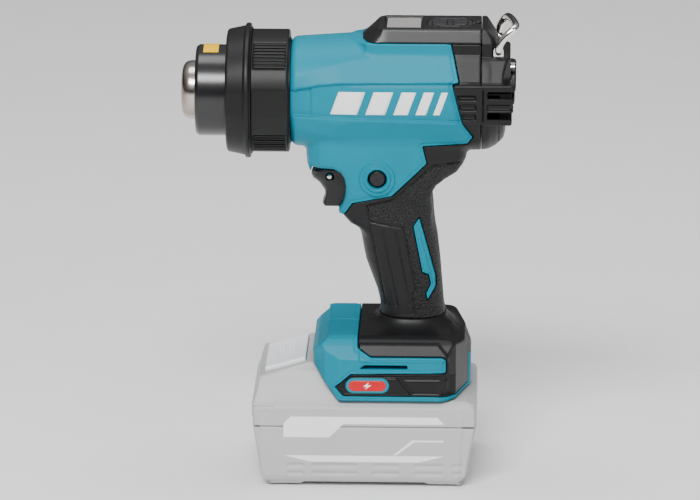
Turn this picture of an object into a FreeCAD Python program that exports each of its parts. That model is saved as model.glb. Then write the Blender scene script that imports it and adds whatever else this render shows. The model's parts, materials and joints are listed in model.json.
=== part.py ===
"""Cordless heat gun with its slide-on battery pack, one STEP file per piece.

Millimetres, +Z up. The barrel lies along X and blows towards -X. The tool's left side
is -Y. The origin is under the middle of the whole object, on the battery's underside.
"""
import FreeCAD, Part
import math
import os

V = FreeCAD.Vector

# ---- driving dimensions ----
BARREL_Z = 190.5            # height of the barrel's axis
TIP_X = -82.0               # mouth of the steel nozzle
HEAD_FRONT_X = -28.0        # front face of the moulded head
SEAM_X = 64.4               # joint between the head and its rear cover
REAR_X = 81.5               # rearmost face of the vent block
HEAD_R = 28.8               # widest radius of the head
WALL = 3.0                  # housing wall
SKIN = 1.5                  # overmoulded cover
GAP = 0.4                   # air between pieces that move past each other
NOZZLE_R = 14.4
NOZZLE_WALL = 0.8
HEATER_TUBE_R = 17.0
SLEEVE_R = 22.2
NECK_RING_R = 25.6
GUARD_BORE_R = 26.0
COLLAR_R = 30.0
GRIP_BOTTOM_Z = 80.5        # lower end of the rubber grip
FOOT_Z = 44.0               # underside of the foot
FOOT_TOP_Z = 75.0
FOOT_HALF_WIDTH = 38.0
BATTERY_HALF_WIDTH = 38.5
BATTERY_SEAM_Z = 31.0
BATTERY_TOP_Z = 41.0
RAIL_TOP_Z = 52.0
TRIGGER_PIN = (-9.2, 149.4)  # x, z of the trigger's pivot
TRIGGER_HALF_WIDTH = 8.5
LOCK_BUTTON = (14.2, 151.2)
LOCK_BUTTON_R = 4.2
CONSOLE_TOP_Z = 225.1
HOOK_PIVOT = (72.6, 214.4)
HOOK_WIRE_R = 1.5
HOOK_HALF_SPAN = 18.0
PAD_CENTRE_X = 49.0         # control pad on the console
PAD_R = 12.0
CELL_R = 9.15               # 18650 cell
CELL_LENGTH = 65.0
SPIGOT_R = 22.9             # neck ring where the housing clamps it
LEDGE_Z = 211.6             # top of the rear cover's ledges
RIDGE_HALF_WIDTH = 14.1     # slope behind the console, clear of the hook's eyelets
REAR_SCREW_Z = 202.5
REAR_SCREW_R = 1.6
REAR_SCREW_HEAD_R = 2.9
VENT_SLOTS_Z = (185.3, 195.7)
LCD_X = (18.3, 35.2)
SHAFT_R = 1.5
FAN_BLADES = 7
TRIGGER_PIN_R = 1.75
PLUNGER_R = 2.0
PLUNGER_Z = 141.0
HOOK_INSERT = (-11.5, 67.5)  # x, z of the belt-hook screw holes

# ---- outlines in the side view (x, z) ----
NECK_OUTLINE = [(-21.5, 175), (-21.5, 161), (-20.4, 155.2), (-18.9, 152.6), (-18.2, 155),
                (-6.6, 155), (-3.4, 153), (-1.5, 149.5), (-1.2, 145), (-2.4, 138.5),
                (-4.8, 134.2), (-3.6, 131.8), (1.2, 126.9), (8, 122), (41, 122), (40.5, 139),
                (42.4, 146.7), (52.7, 152.7), (57.1, 158.8), (58.3, 163), (58.3, 175)]
NECK_PLAN = [(-22, -11), (-15, -17), (-6, -19), (34, -19), (48, -16.5), (60, -10),
             (60, 10), (48, 16.5), (34, 19), (-6, 19), (-15, 17), (-22, 11)]
COVER_ZONE = [(49, 230), (53.7, 201), (50.7, 199.7), (55.7, 180.3), (59.2, 179.6),
              (60.4, 176.5), (59.8, 173.5), (53.1, 168), (36.2, 167.5), (38.3, 158.9),
              (21.3, 142.3), (2, 138.4), (-2.2, 131.5), (-6, 128), (-6, GRIP_BOTTOM_Z),
              (70, GRIP_BOTTOM_Z), (70, 230)]
# the neck without the thin lip over the trigger, from which its inside is worked out
NECK_CORE = [(-21.5, 175), (-21.5, 161), (-19, 155), (-6.6, 155), (-3.4, 153), (-1.5, 149.5),
             (-1.2, 145), (-2.4, 138.5), (-4, 132), (1.2, 126.9), (8, 122), (41, 122),
             (40.5, 139), (42.4, 146.7), (52.7, 152.7), (57.1, 158.8), (58.3, 163), (58.3, 175)]
INLAY_OUTLINE = [(34.7, 131.2), (31.6, 126.5), (36.1, 103.1), (39.2, 101.7), (40.2, 96.7),
                 (37.9, 92.5), (38.8, 88.9), (42.9, 95.6), (42.6, 101)]
FOOT_OUTLINE = [(-4, FOOT_Z), (-15.9, 59.5), (-17, 69), (-11.2, FOOT_TOP_Z),
                (56.6, FOOT_TOP_Z), (60.5, 70), (60.5, 50), (58.5, FOOT_Z)]
FOOT_SECTION = [(-FOOT_HALF_WIDTH, 40), (-FOOT_HALF_WIDTH, 64), (-31, 71), (-28.5, 76),
                (28.5, 76), (31, 71), (FOOT_HALF_WIDTH, 64), (FOOT_HALF_WIDTH, 40)]
FOOT_PLAN = [(-18, -25), (-11, -35), (-3, -38), (45, -38), (52, -33.5), (58.2, -12),
             (60.5, 0), (58.2, 12), (52, 33.5), (45, 38), (-3, 38), (-11, 35), (-18, 25)]
FOOT_PANEL_ZONE = [(5.3, GRIP_BOTTOM_Z), (5.3, 70), (11.7, 66), (48.2, 66), (48.2, 58.1),
                   (1.9, 57.5), (-5.6, 51), (-1.9, 46.6), (58, 46.6), (58.8, 52), (58.8, 67),
                   (64, 68.5), (64, GRIP_BOTTOM_Z)]
# each section of the grip: height, front x, rear x, half-width
GRIP_SECTIONS = [(142, 5, 40.4, 17.5), (124, 5.2, 42.6, 17.2), (107, 8.1, 44.8, 16.8),
                 (95, 12.7, 45.8, 16.8), (86, 15.4, 46.5, 17), (74, 15.8, 47.2, 17.4)]
CONSOLE_SECTION = [(-18, 205), (-19, 218.8), (-15, CONSOLE_TOP_Z), (15, CONSOLE_TOP_Z),
                   (19, 218.8), (18, 205)]
BUTTON_WELL = [(-41, 48), (-41, 58), (-20.2, 64), (-20.2, 53.6)]
DOME_SECTIONS = [(71, 3, 58, 28), (77, 10.5, 52.5, 21.5), (82.5, 15.2, 47, 17.3)]


# ---- shape helpers ----
def polygon_face(points):
    return Part.Face(Part.makePolygon(points + [points[0]]))


def prism_xz(points, y0, y1):
    face = polygon_face([V(x, y0, z) for x, z in points])
    return face.extrude(V(0, y1 - y0, 0))


def prism_yz(points, x0, x1):
    face = polygon_face([V(x0, y, z) for y, z in points])
    return face.extrude(V(x1 - x0, 0, 0))


def prism_xy(points, z0, z1):
    face = polygon_face([V(x, y, z0) for x, y in points])
    return face.extrude(V(0, 0, z1 - z0))


def block(x0, x1, y0, y1, z0, z1):
    return Part.makeBox(x1 - x0, y1 - y0, z1 - z0, V(x0, y0, z0))


def cylinder_x(x0, x1, radius, y=0.0, z=BARREL_Z):
    return Part.makeCylinder(radius, x1 - x0, V(x0, y, z), V(1, 0, 0))


def cylinder_y(x, z, radius, y0, y1):
    return Part.makeCylinder(radius, y1 - y0, V(x, y0, z), V(0, 1, 0))


def cylinder_z(x, y, radius, z0, z1):
    return Part.makeCylinder(radius, z1 - z0, V(x, y, z0), V(0, 0, 1))


def tube_x(x0, x1, outer, inner):
    return cylinder_x(x0, x1, outer).cut(cylinder_x(x0 - 1, x1 + 1, inner))


def turned(profile):
    """A solid of revolution about the barrel's axis, from (x, radius) points."""
    face = polygon_face([V(x, 0, BARREL_Z + r) for x, r in profile])
    return face.revolve(V(0, 0, BARREL_Z), V(1, 0, 0), 360)


def loft(sections, inset=0.0):
    """A solid through elliptical level sections (z, front x, rear x, half-width)."""
    wires = []
    for z, front, rear, half_width in sections:
        long_r = (rear - front) / 2 - inset
        wide_r = half_width - inset
        major, minor = max(long_r, wide_r), min(long_r, wide_r)
        ellipse = Part.Ellipse(V(0, 0, 0), major, minor)
        edge = ellipse.toShape()
        if wide_r > long_r:
            edge.rotate(V(0, 0, 0), V(0, 0, 1), 90)
        edge.translate(V((front + rear) / 2, 0, z))
        wires.append(Part.Wire([edge]))
    return Part.makeLoft(wires, True)


def shrink(points, inset):
    """Move every side of a closed outline inwards by inset, with mitred corners."""
    if inset == 0:
        return list(points)
    count = len(points)
    area = sum(points[i][0] * points[(i + 1) % count][1]
               - points[(i + 1) % count][0] * points[i][1] for i in range(count))
    side = 1 if area > 0 else -1
    moved = []
    for i in range(count):
        before, here, after = points[i - 1], points[i], points[(i + 1) % count]
        n1 = inward_normal(before, here, side)
        n2 = inward_normal(here, after, side)
        scale = inset / (1 + n1[0] * n2[0] + n1[1] * n2[1])
        moved.append((here[0] + (n1[0] + n2[0]) * scale, here[1] + (n1[1] + n2[1]) * scale))
    return moved


def inward_normal(a, b, side):
    dx, dy = b[0] - a[0], b[1] - a[1]
    length = math.hypot(dx, dy)
    return (-dy / length * side, dx / length * side)


def fuse(shapes):
    return shapes[0].multiFuse(list(shapes[1:])).removeSplitter()


def mirrored(shape):
    return shape.mirror(V(0, 0, 0), V(0, 1, 0))


def both_sides(shape):
    return Part.makeCompound([shape, mirrored(shape)])


def coil(radius, wire_r, pitch, height):
    """A helical wire standing on the XY plane about the Z axis."""
    path = Part.Wire(Part.makeHelix(pitch, height, radius).Edges)
    ring = Part.Wire([Part.makeCircle(wire_r, V(radius, 0, 0), V(0, 1, 0))])
    return Part.Solid(path.makePipeShell([ring], True, True))


def half(shape, side):
    """The part of a shape on one side of the parting plane; side is -1 for left."""
    box = block(-100, 100, 0, 60, -10, 250) if side > 0 else block(-100, 100, -60, 0, -10, 250)
    piece = shape.common(box)
    solids = sorted(piece.Solids, key=lambda s: s.Volume)
    return solids[-1]


# ---- housing ----
def head_volume(inset):
    return turned([(HEAD_FRONT_X + inset, 0), (HEAD_FRONT_X + inset, 24.5 - inset),
                   (-25.5 + inset * 0.4, 26.6 - inset), (4, HEAD_R - inset),
                   (SEAM_X, 28.3 - inset), (SEAM_X, 0)])


def neck_volume(inset):
    profile = shrink(NECK_CORE, inset) if inset else NECK_OUTLINE
    side = prism_xz(profile, -40, 40)
    plan = prism_xy(shrink(NECK_PLAN, inset), 115, 180)
    return side.common(plan)


def foot_volume(inset):
    side = prism_xz(shrink(FOOT_OUTLINE, inset), -50, 50)
    section = prism_yz(shrink(FOOT_SECTION, inset), -40, 80)
    plan = prism_xy(shrink(FOOT_PLAN, inset), 30, 90)
    return side.common(section).common(plan)


def body_volume(inset):
    grip = loft(GRIP_SECTIONS, inset)
    dome = loft(DOME_SECTIONS, inset)
    return fuse([head_volume(inset), neck_volume(inset), grip, foot_volume(inset), dome])


def trigger_slot():
    return block(-30, 10, -9.1, 9.1, 133.6, 155)


def screw_places():
    """Side-view positions of the screws that hold the two housing halves together."""
    return [(-13.5, 161), (29, 160), (50, 160), (33.5, 127), (31, 88), (0, 68), (52, 62)]


def screw_boss(x, z):
    """A pillar in each half, and the well on the right side that the screw head sits in."""
    return cylinder_y(x, z, 3.4, -15.5, 15.5).fuse(cylinder_y(x, z, 5.2, 12.5, 45))


def lock_boss():
    x, z = LOCK_BUTTON
    return cylinder_y(x, z, 7.8, -20.2, 20.2)


def trigger_ears():
    x, z = TRIGGER_PIN
    ear = prism_xz([(x - 2.8, z - 2.4), (x + 2.8, z - 2.4), (x + 2.8, 157), (x - 2.8, 157)], 3.3, 5)
    return both_sides(ear.cut(cylinder_y(x, z, 1.75, 0, 10)))


def foot_lips():
    """The rails under the foot that the battery's rail slides along."""
    lip = block(-3.6, 56, 21, 36.2, FOOT_Z, 46.4)
    return both_sides(lip)


def hook_recess():
    """The notch at the foot's front corner where a belt hook is screwed on."""
    notch = block(-25, -6.5, 24.5, 45, 62.5, 73)
    return both_sides(notch)


def hook_walls():
    """Material around the belt-hook notches, so that they don't open the foot."""
    wall = block(-16.5, -4.5, 15, 40, 60.5, 75)
    return wall.common(foot_volume(0))


def screw_pocket(x, z):
    """A counterbore that lets the screw's head in from the right side."""
    return cylinder_y(x, z, 3.9, 14.6, 45).fuse(cylinder_y(x, z, 1.95, -16, 16))


def battery_passage():
    """The way through the foot's front wall and floor for the battery's rail."""
    neck = block(-30, 53, -21, 21, 40, 53)
    head = block(-30, 53, -26, 26, 46.4, 53)
    return neck.fuse(head)


def housing_volume(cover):
    outer = body_volume(0)
    bosses = [screw_boss(x, z).common(outer) for x, z in screw_places()]
    walls = [hook_walls(), mirrored(hook_walls())]
    shell = outer.fuse(lock_boss()).cut(body_volume(WALL))
    shell = fuse([shell] + bosses + walls + foot_lips().common(foot_volume(0)).Solids)
    shell = shell.cut(trigger_slot())
    shell = fuse([shell] + trigger_ears().Solids)
    x, z = LOCK_BUTTON
    cuts = [cylinder_y(x, z, LOCK_BUTTON_R + GAP, -30, 30), battery_passage(), hook_recess(),
            cylinder_x(-40, -20, SPIGOT_R + 0.05), insert_holes()]
    cuts += [screw_pocket(x, z) for x, z in screw_places()]
    for cut in cuts:
        shell = shell.cut(cut)
    return shell.cut(cover)


def insert_holes():
    x, z = HOOK_INSERT
    return both_sides(cylinder_y(x, z, 2.8, 15.9, 30))


def housing_parts():
    """The two housing halves and the covers moulded over them."""
    layer = body_volume(0).cut(body_volume(SKIN))
    zone = prism_xz(COVER_ZONE, -50, 50).cut(prism_xz(INLAY_OUTLINE, -50, 50))
    grip_cover = layer.common(zone).cut(trigger_slot())
    foot_panel = layer.common(prism_xz(FOOT_PANEL_ZONE, -50, 50))
    housing = housing_volume(Part.makeCompound([grip_cover, foot_panel]))
    pockets = Part.makeCompound([screw_pocket(x, z) for x, z in screw_places()])
    parts = {}
    for name, side in (("left", -1), ("right", 1)):
        parts[name + "_housing"] = half(housing, side)
        parts[name + "_grip_cover"] = half(grip_cover.cut(pockets), side)
        parts[name + "_foot_panel"] = half(foot_panel.cut(pockets), side)
    return parts


# ---- rear cover and console ----
def console_volume(profile):
    return prism_xz(profile, -30, 30).common(prism_yz(CONSOLE_SECTION, 0, 90))


def rear_cover():
    cap = turned([(SEAM_X, 0), (SEAM_X, 28.3), (68, 27.4), (71.5, 25), (75.2, 21.5),
                  (76.3, 17.5), (76.3, 0)])
    cap = cap.cut(block(69.5, 80, -30, 30, LEDGE_Z, 220))
    vents = prism_xy([(SEAM_X, -29.4), (79.5, -29.4), (REAR_X, -27), (REAR_X, 27),
                      (79.5, 29.4), (SEAM_X, 29.4)], 180.5, 200.6)
    ledge = block(SEAM_X, 78.5, -21, 21, 199, LEDGE_Z)
    sides = console_volume([(SEAM_X, 205), (SEAM_X, CONSOLE_TOP_Z), (66.8, CONSOLE_TOP_Z),
                            (69.5, 221.3), (69.5, 205)])
    slope = prism_xz([(SEAM_X, 205), (SEAM_X, CONSOLE_TOP_Z), (66.8, CONSOLE_TOP_Z),
                      (71.1, 219), (73.2, 214), (73.2, 205)], -RIDGE_HALF_WIDTH,
                     RIDGE_HALF_WIDTH)
    cover = fuse([cap, vents, ledge, sides, slope])
    cover = cover.cut(cylinder_x(SEAM_X - 1, 73, 24))
    cover = cover.cut(block(SEAM_X - 1, 79.3, -26.8, 26.8, 183, 198))
    for slot_z in VENT_SLOTS_Z:
        slot = block(67.5, 90, 6, 35, slot_z - 1.7, slot_z + 1.7)
        cover = cover.cut(both_sides(slot))
    cover = cover.cut(cylinder_x(78.5, 90, REAR_SCREW_HEAD_R + 0.2, 0, REAR_SCREW_Z))
    return cover.cut(cylinder_x(60, 80, REAR_SCREW_R, 0, REAR_SCREW_Z))


def rear_screw():
    shank = cylinder_x(74.2, 78.5, REAR_SCREW_R, 0, REAR_SCREW_Z)
    head = cylinder_x(78.5, 80.5, REAR_SCREW_HEAD_R, 0, REAR_SCREW_Z)
    drive = block(79.6, 81, -2, 2, REAR_SCREW_Z - 0.4, REAR_SCREW_Z + 0.4)
    return shank.fuse(head).cut(drive)


def key_shapes(grow):
    """Plan shapes of the four keys on the control pad, grown by a clearance."""
    c, g = PAD_CENTRE_X, grow
    disc = cylinder_z(c, 0, PAD_R - 0.8 + g, 210, 240)
    front = block(c - 8.6 - g, c - 1.4 + g, -5 - g, 5 + g, 210, 240)
    rear = block(c + 1.4 - g, c + 8.6 + g, -5 - g, 5 + g, 210, 240)
    left = block(c - 5.5 - g, c + 5.5 + g, -14, -6.4 + g, 210, 240).common(disc)
    return {"key_front": front, "key_rear": rear, "key_left": left,
            "key_right": mirrored(left)}


def keys():
    slab = block(30, 70, -20, 20, 222.2, CONSOLE_TOP_Z + 0.2)
    return {name: shape.common(slab) for name, shape in key_shapes(0).items()}


def control_pad():
    pad = cylinder_z(PAD_CENTRE_X, 0, PAD_R, 223.4, CONSOLE_TOP_Z - 0.3)
    for shape in key_shapes(0.3).values():
        pad = pad.cut(shape)
    return pad


def console_housing():
    body = console_volume([(5.4, 205), (5.4, 219.2), (14.5, CONSOLE_TOP_Z),
                           (SEAM_X, CONSOLE_TOP_Z), (SEAM_X, 205)])
    body = body.cut(head_volume(0))
    body = body.cut(block(17, 62, -12.3, 12.3, 219.9, 223.4))
    body = body.cut(block(*LCD_X, -11, 11, 223, 230))
    body = body.cut(cylinder_z(PAD_CENTRE_X, 0, PAD_R, 223, 230))
    return max(body.Solids, key=lambda s: s.Volume)


def console_parts():
    parts = {"console_housing": console_housing(), "control_pad": control_pad()}
    parts["lcd_lens"] = block(*LCD_X, -11, 11, 223.4, 224.3)
    parts["lcd_module"] = block(LCD_X[0] + 0.8, LCD_X[1] - 0.8, -10, 10, 221.1, 223.3)
    parts["display_board"] = block(17.4, 61.6, -11.8, 11.8, 219.9, 221.1)
    parts.update(keys())
    return parts


# ---- front end ----
def nozzle_tube():
    return turned([(TIP_X, 12.9), (TIP_X + 0.3, 13.7), (-80.6, NOZZLE_R), (-75.2, NOZZLE_R),
                   (-75.2, 14), (-62, 14), (-58, HEATER_TUBE_R), (-6, HEATER_TUBE_R),
                   (-6, HEATER_TUBE_R - NOZZLE_WALL), (-57.6, HEATER_TUBE_R - NOZZLE_WALL),
                   (-61.7, 13.2), (-80.2, 13.2), (-81.2, 12.6), (TIP_X + 0.3, 12.5)])


def nozzle_sleeve():
    return turned([(-75, 14.2), (-75, 20.6), (-74.2, 21.7), (-72.4, SLEEVE_R),
                   (-44.1, SLEEVE_R), (-44.1, 20.6), (-72.6, 20.6), (-73.4, 20),
                   (-73.4, 14.2)])


def nozzle_label():
    band = tube_x(-70.5, -63.2, SLEEVE_R + 0.25, SLEEVE_R)
    wedge = prism_yz([(0, BARREL_Z), (-12, BARREL_Z + 30), (12, BARREL_Z + 30)], -72, -60)
    return band.common(wedge)


def neck_ring():
    return turned([(-44, 18.4), (-44, NECK_RING_R), (-28.05, NECK_RING_R), (-28.05, SPIGOT_R),
                   (-24.2, SPIGOT_R), (-24.2, 23.3), (-21, 23.3), (-21, 18.4)])


def front_guard():
    return turned([(-59.3, SLEEVE_R + GAP), (-59.3, 29.2), (-58.6, 29.8), (-50.8, 31.6),
                   (-50.2, 33), (-47.6, 33), (-46.9, 31), (-46.9, GUARD_BORE_R),
                   (-49.6, GUARD_BORE_R), (-50.5, 28), (-56.6, 26.9), (-56.6, SLEEVE_R + GAP)])


def guard_collar():
    ring = turned([(-46.9, GUARD_BORE_R), (-46.9, COLLAR_R), (-29.8, COLLAR_R),
                   (-28.8, COLLAR_R - 1), (-28.8, GUARD_BORE_R)])
    for angle in range(36, 62, 5):
        for sign in (1, -1):
            ring = ring.cut(rib_groove(sign * angle)).cut(rib_groove(180 - sign * angle))
    return ring


def rib_groove(angle):
    """An axial groove between two finger ribs of the collar."""
    cutter = cylinder_x(-45.5, -30.2, 0.7, 0, BARREL_Z + COLLAR_R)
    cutter.rotate(V(0, 0, BARREL_Z), V(1, 0, 0), angle + 90)
    return cutter


def heating_coil():
    wire = coil(15, 0.5, 3.6, 39.6)
    wire.rotate(V(0, 0, 0), V(0, 1, 0), 90)
    wire.translate(V(-52, 0, BARREL_Z))
    return wire


def air_channels(x0, x1):
    """The axial holes through the heater's ceramic and its end plates."""
    holes = [cylinder_x(x0, x1, 2.2)]
    for k in range(6):
        a = math.radians(60 * k)
        y, z = 8.6 * math.cos(a), BARREL_Z + 8.6 * math.sin(a)
        holes.append(cylinder_x(x0, x1, 3, y, z))
    return Part.makeCompound(holes)


def heater_core():
    return cylinder_x(-56, -9, 14.4).cut(air_channels(-60, 0))


def heater_plates():
    plates = [cylinder_x(-57, -56, 16.1), cylinder_x(-9, -8, 16.1)]
    return Part.makeCompound([plate.cut(air_channels(-60, 0)) for plate in plates])


def front_parts():
    return {"nozzle_tube": nozzle_tube(), "nozzle_sleeve": nozzle_sleeve(),
            "nozzle_label": nozzle_label(), "neck_ring": neck_ring(),
            "front_guard": front_guard(), "guard_collar": guard_collar(),
            "heat_shield": tube_x(-40, -2, 18.2, 17.4), "heater_core": heater_core(),
            "heating_coil": heating_coil(), "heater_plates": heater_plates(),
            "temperature_probe": cylinder_x(-60, -4, 1.6)}


# ---- fan and motor ----
def fan_duct():
    return turned([(-1.8, 17.4), (-1.8, 18.6), (13, 25), (36, 25), (36, 22.8), (14, 22.8),
                   (-0.6, 17.4)])


def impeller():
    hub = cylinder_x(22, 33, 6)
    blades = []
    for k in range(FAN_BLADES):
        blade = block(-5.5, 5.5, -0.6, 0.6, 5, 24)
        blade.rotate(V(0, 0, 0), V(0, 0, 1), 35)
        blade.rotate(V(0, 0, 0), V(1, 0, 0), 360 / FAN_BLADES * k)
        blade.translate(V(27.5, 0, BARREL_Z))
        blades.append(blade.common(cylinder_x(20, 35, 21.5)))
    return hub.multiFuse(blades).cut(cylinder_x(20, 35, SHAFT_R))


def motor():
    can = cylinder_x(36, 60, 13)
    ends = [cylinder_x(34.5, 36, 4), cylinder_x(60, 61.5, 4)]
    return can.multiFuse(ends).cut(cylinder_x(30, 61, SHAFT_R + 0.05))


def motor_mount():
    rim = tube_x(36.2, 39.2, 25, 22.5)
    hub = tube_x(36.2, 39.2, 15.5, 13)
    spokes = []
    for k in range(4):
        spoke = block(36.2, 39.2, -2, 2, 14, 23.5)
        spoke.rotate(V(0, 0, 0), V(1, 0, 0), 90 * k + 45)
        spoke.translate(V(0, 0, BARREL_Z))
        spokes.append(spoke)
    return rim.multiFuse([hub] + spokes)


def intake_screen():
    disc = cylinder_x(62.2, 63.4, 24.9)
    pitch = 5.4
    holes = []
    for row in range(-4, 5):
        for col in range(-4, 5):
            y = (col + 0.5 * (row % 2)) * pitch
            z = row * pitch * 0.87
            if math.hypot(y, z) < 21.5:
                holes.append(cylinder_x(61, 65, 2, y, BARREL_Z + z))
    return disc.cut(Part.makeCompound(holes))


def fan_parts():
    return {"fan_duct": fan_duct(), "impeller": impeller(), "motor": motor(),
            "motor_shaft": cylinder_x(21.5, 60.5, SHAFT_R), "motor_mount": motor_mount(),
            "intake_screen": intake_screen()}


# ---- trigger, switch and lock ----
def trigger():
    x, z = TRIGGER_PIN
    outline = [(-18.3, 151), (-18.4, 149.8), (-17.2, 147), (-14.3, 144.6), (-12.5, 142.3),
               (-11.6, 139.4), (-12, 137), (-13, 135.2), (-12.4, 134.4), (2, 134.4), (3, 136),
               (3, 151), (0, 152.9), (-12, 153.6), (-16.5, 152.4)]
    body = prism_xz(outline, -TRIGGER_HALF_WIDTH, TRIGGER_HALF_WIDTH)
    pocket = block(x - 4.3, 5, -5.5, 5.5, z - 4, 160)
    return body.cut(pocket).cut(cylinder_y(x, z, TRIGGER_PIN_R + 0.05, -10, 10))


def trigger_spring():
    """A torsion spring around the pin, with one leg up against the slot's ceiling."""
    x, z = TRIGGER_PIN
    turns = coil(2.5, 0.4, 1.1, 4.4)
    turns.rotate(V(0, 0, 0), V(1, 0, 0), 90)
    turns.translate(V(x, 2.2, z))
    leg = cylinder_z(x + 2.5, 2.2, 0.4, z, 154.8)
    return turns.fuse(leg)


def switch_body():
    case = block(9.8, 30, -8, 8, 136.5, 145.8)
    return case.cut(cylinder_x(9, 16, PLUNGER_R + 0.05, 0, PLUNGER_Z))


def lock_button():
    x, z = LOCK_BUTTON
    stem = cylinder_y(x, z, 3, -19, 16)
    heads = [cylinder_y(x, z, LOCK_BUTTON_R, -19.4, -13), cylinder_y(x, z, LOCK_BUTTON_R, 10, 16.8)]
    return stem.multiFuse(heads)


def trigger_parts():
    x, z = TRIGGER_PIN
    pin = cylinder_y(x, z, TRIGGER_PIN_R, -8.9, 8.9)
    return {"trigger": trigger(), "trigger_pin": pin, "trigger_spring": trigger_spring(),
            "switch_body": switch_body(),
            "switch_plunger": cylinder_x(3.5, 12, PLUNGER_R, 0, PLUNGER_Z),
            "lock_button": lock_button()}


# ---- hook ----
def bent_wire(points, radius, wire_r):
    """A round wire through the points, its corners turned to one bend radius."""
    edges = []
    start = points[0]
    for i in range(1, len(points) - 1):
        before = (points[i - 1] - points[i]).normalize()
        after = (points[i + 1] - points[i]).normalize()
        turn = math.pi - before.getAngle(after)
        reach = radius * math.tan(turn / 2)
        a = points[i] + before * reach
        b = points[i] + after * reach
        middle = (before + after).normalize() * (radius / math.cos(turn / 2) - radius)
        edges.append(Part.LineSegment(start, a).toShape())
        edges.append(Part.Arc(a, points[i] + middle, b).toShape())
        start = b
    edges.append(Part.LineSegment(start, points[-1]).toShape())
    path = Part.Wire(edges)
    direction = points[1] - points[0]
    ring = Part.Wire([Part.makeCircle(wire_r, points[0], direction)])
    return Part.Solid(path.makePipeShell([ring], True, True))


def hook():
    """A bail of round wire whose two ends turn inwards into the eyelets."""
    x, z = HOOK_PIVOT
    top_x, top_z = x + 7.9, z + 11.9
    s = HOOK_HALF_SPAN
    points = [V(x, s - 3.6, z), V(x, s, z), V(x, s, z + 4.4), V(top_x, s, top_z),
              V(top_x, -s, top_z), V(x, -s, z + 4.4), V(x, -s, z), V(x, 3.6 - s, z)]
    return bent_wire(points, 1.9, HOOK_WIRE_R)


def hook_eyelets():
    x, z = HOOK_PIVOT
    y0 = HOOK_HALF_SPAN - 3.8
    ring = cylinder_y(x, z, 2.35, y0, y0 + 1.9)
    foot = block(x - 2.35, x + 2.35, y0, y0 + 1.9, LEDGE_Z, z)
    bore = cylinder_y(x, z, HOOK_WIRE_R + 0.06, y0 - 1, y0 + 4)
    return both_sides(ring.fuse(foot).cut(bore))


# ---- foot ----
def housing_screws():
    screws = []
    for x, z in screw_places():
        screw = cylinder_y(x, z, 1.9, -12, 14.6).fuse(cylinder_y(x, z, 3.6, 14.6, 16.8))
        screws.append(screw.cut(cylinder_y(x, z, 1.3, 15.4, 18)))
    return Part.makeCompound(screws)


def hook_inserts():
    x, z = HOOK_INSERT
    insert = cylinder_y(x, z, 2.8, 15.9, 24.5).cut(cylinder_y(x, z, 1.65, 15, 30))
    return both_sides(insert)


def side_badges():
    """A raised oval plate on each side of the foot."""
    y0, y1, z = -FOOT_HALF_WIDTH - 0.5, -FOOT_HALF_WIDTH, 52
    pill = block(3.5, 16.5, y0, y1, z - 2.6, z + 2.6)
    ends = [cylinder_y(x, z, 2.6, y0, y1) for x in (3.5, 16.5)]
    return both_sides(pill.multiFuse(ends))


def terminal_block():
    body = block(30.5, 46.4, -18, 18, 47.4, 58)
    return body.cut(terminal_blades())


def terminal_blades():
    return both_sides(block(13, 34, 7.6, 8.4, 47.6, 50.8))


def controller_board():
    """The power board, with its capacitor, transistors and connector."""
    board = block(-4, 44, -22, 22, 62, 63.6)
    board = board.cut(block(-5, 4, 12.2, 23, 61, 65))
    parts = [cylinder_z(34, 10, 4, 63.6, 70), block(8, 14, -16, -8, 63.6, 68),
             block(8, 14, -4, 4, 63.6, 68), block(8, 14, 8, 16, 63.6, 68),
             block(30, 38, -14, -4, 63.6, 67)]
    return board.multiFuse(parts)


def power_leads():
    route = [V(24, 4, 63.7), V(23, 4, 88), V(20.5, 4, 118), V(20, 4, 136.4)]
    return both_sides(bent_wire(route, 30, 1.3))


def motor_leads():
    route = [V(23, 5, 146.4), V(25, 5, 152), V(41, 5, 156), V(43, 5, 170), V(47, 5, 176.8)]
    return both_sides(bent_wire(route, 6, 1.1))


def foot_parts():
    return {"housing_screws": housing_screws(), "hook_inserts": hook_inserts(),
            "side_badges": side_badges(), "terminal_block": terminal_block(),
            "terminal_blades": terminal_blades(),
            "controller_board": controller_board(), "power_leads": power_leads(),
            "motor_leads": motor_leads()}


# ---- battery pack ----
def battery_lower_case():
    outline = [(-46.3, BATTERY_SEAM_Z), (-43, 9), (-40.7, 4), (-37.5, 0), (-22, 0),
               (-21, 1.2), (38, 1.2), (39, 0), (53.9, 0), (58.6, 5), (60.5, 17),
               (63.3, BATTERY_SEAM_Z)]
    section = [(-BATTERY_HALF_WIDTH, 40), (-BATTERY_HALF_WIDTH, 5), (-36, 0), (36, 0),
               (BATTERY_HALF_WIDTH, 5), (BATTERY_HALF_WIDTH, 40)]
    inside = [(-44, 40), (-41.4, 10), (-36.5, 2.8), (53, 2.8), (56.5, 6), (58.3, 17.5), (61, 40)]
    outer = prism_xz(outline, -50, 50).common(prism_yz(section, -60, 80))
    return outer.cut(prism_xz(inside, -36.3, 36.3))


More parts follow.
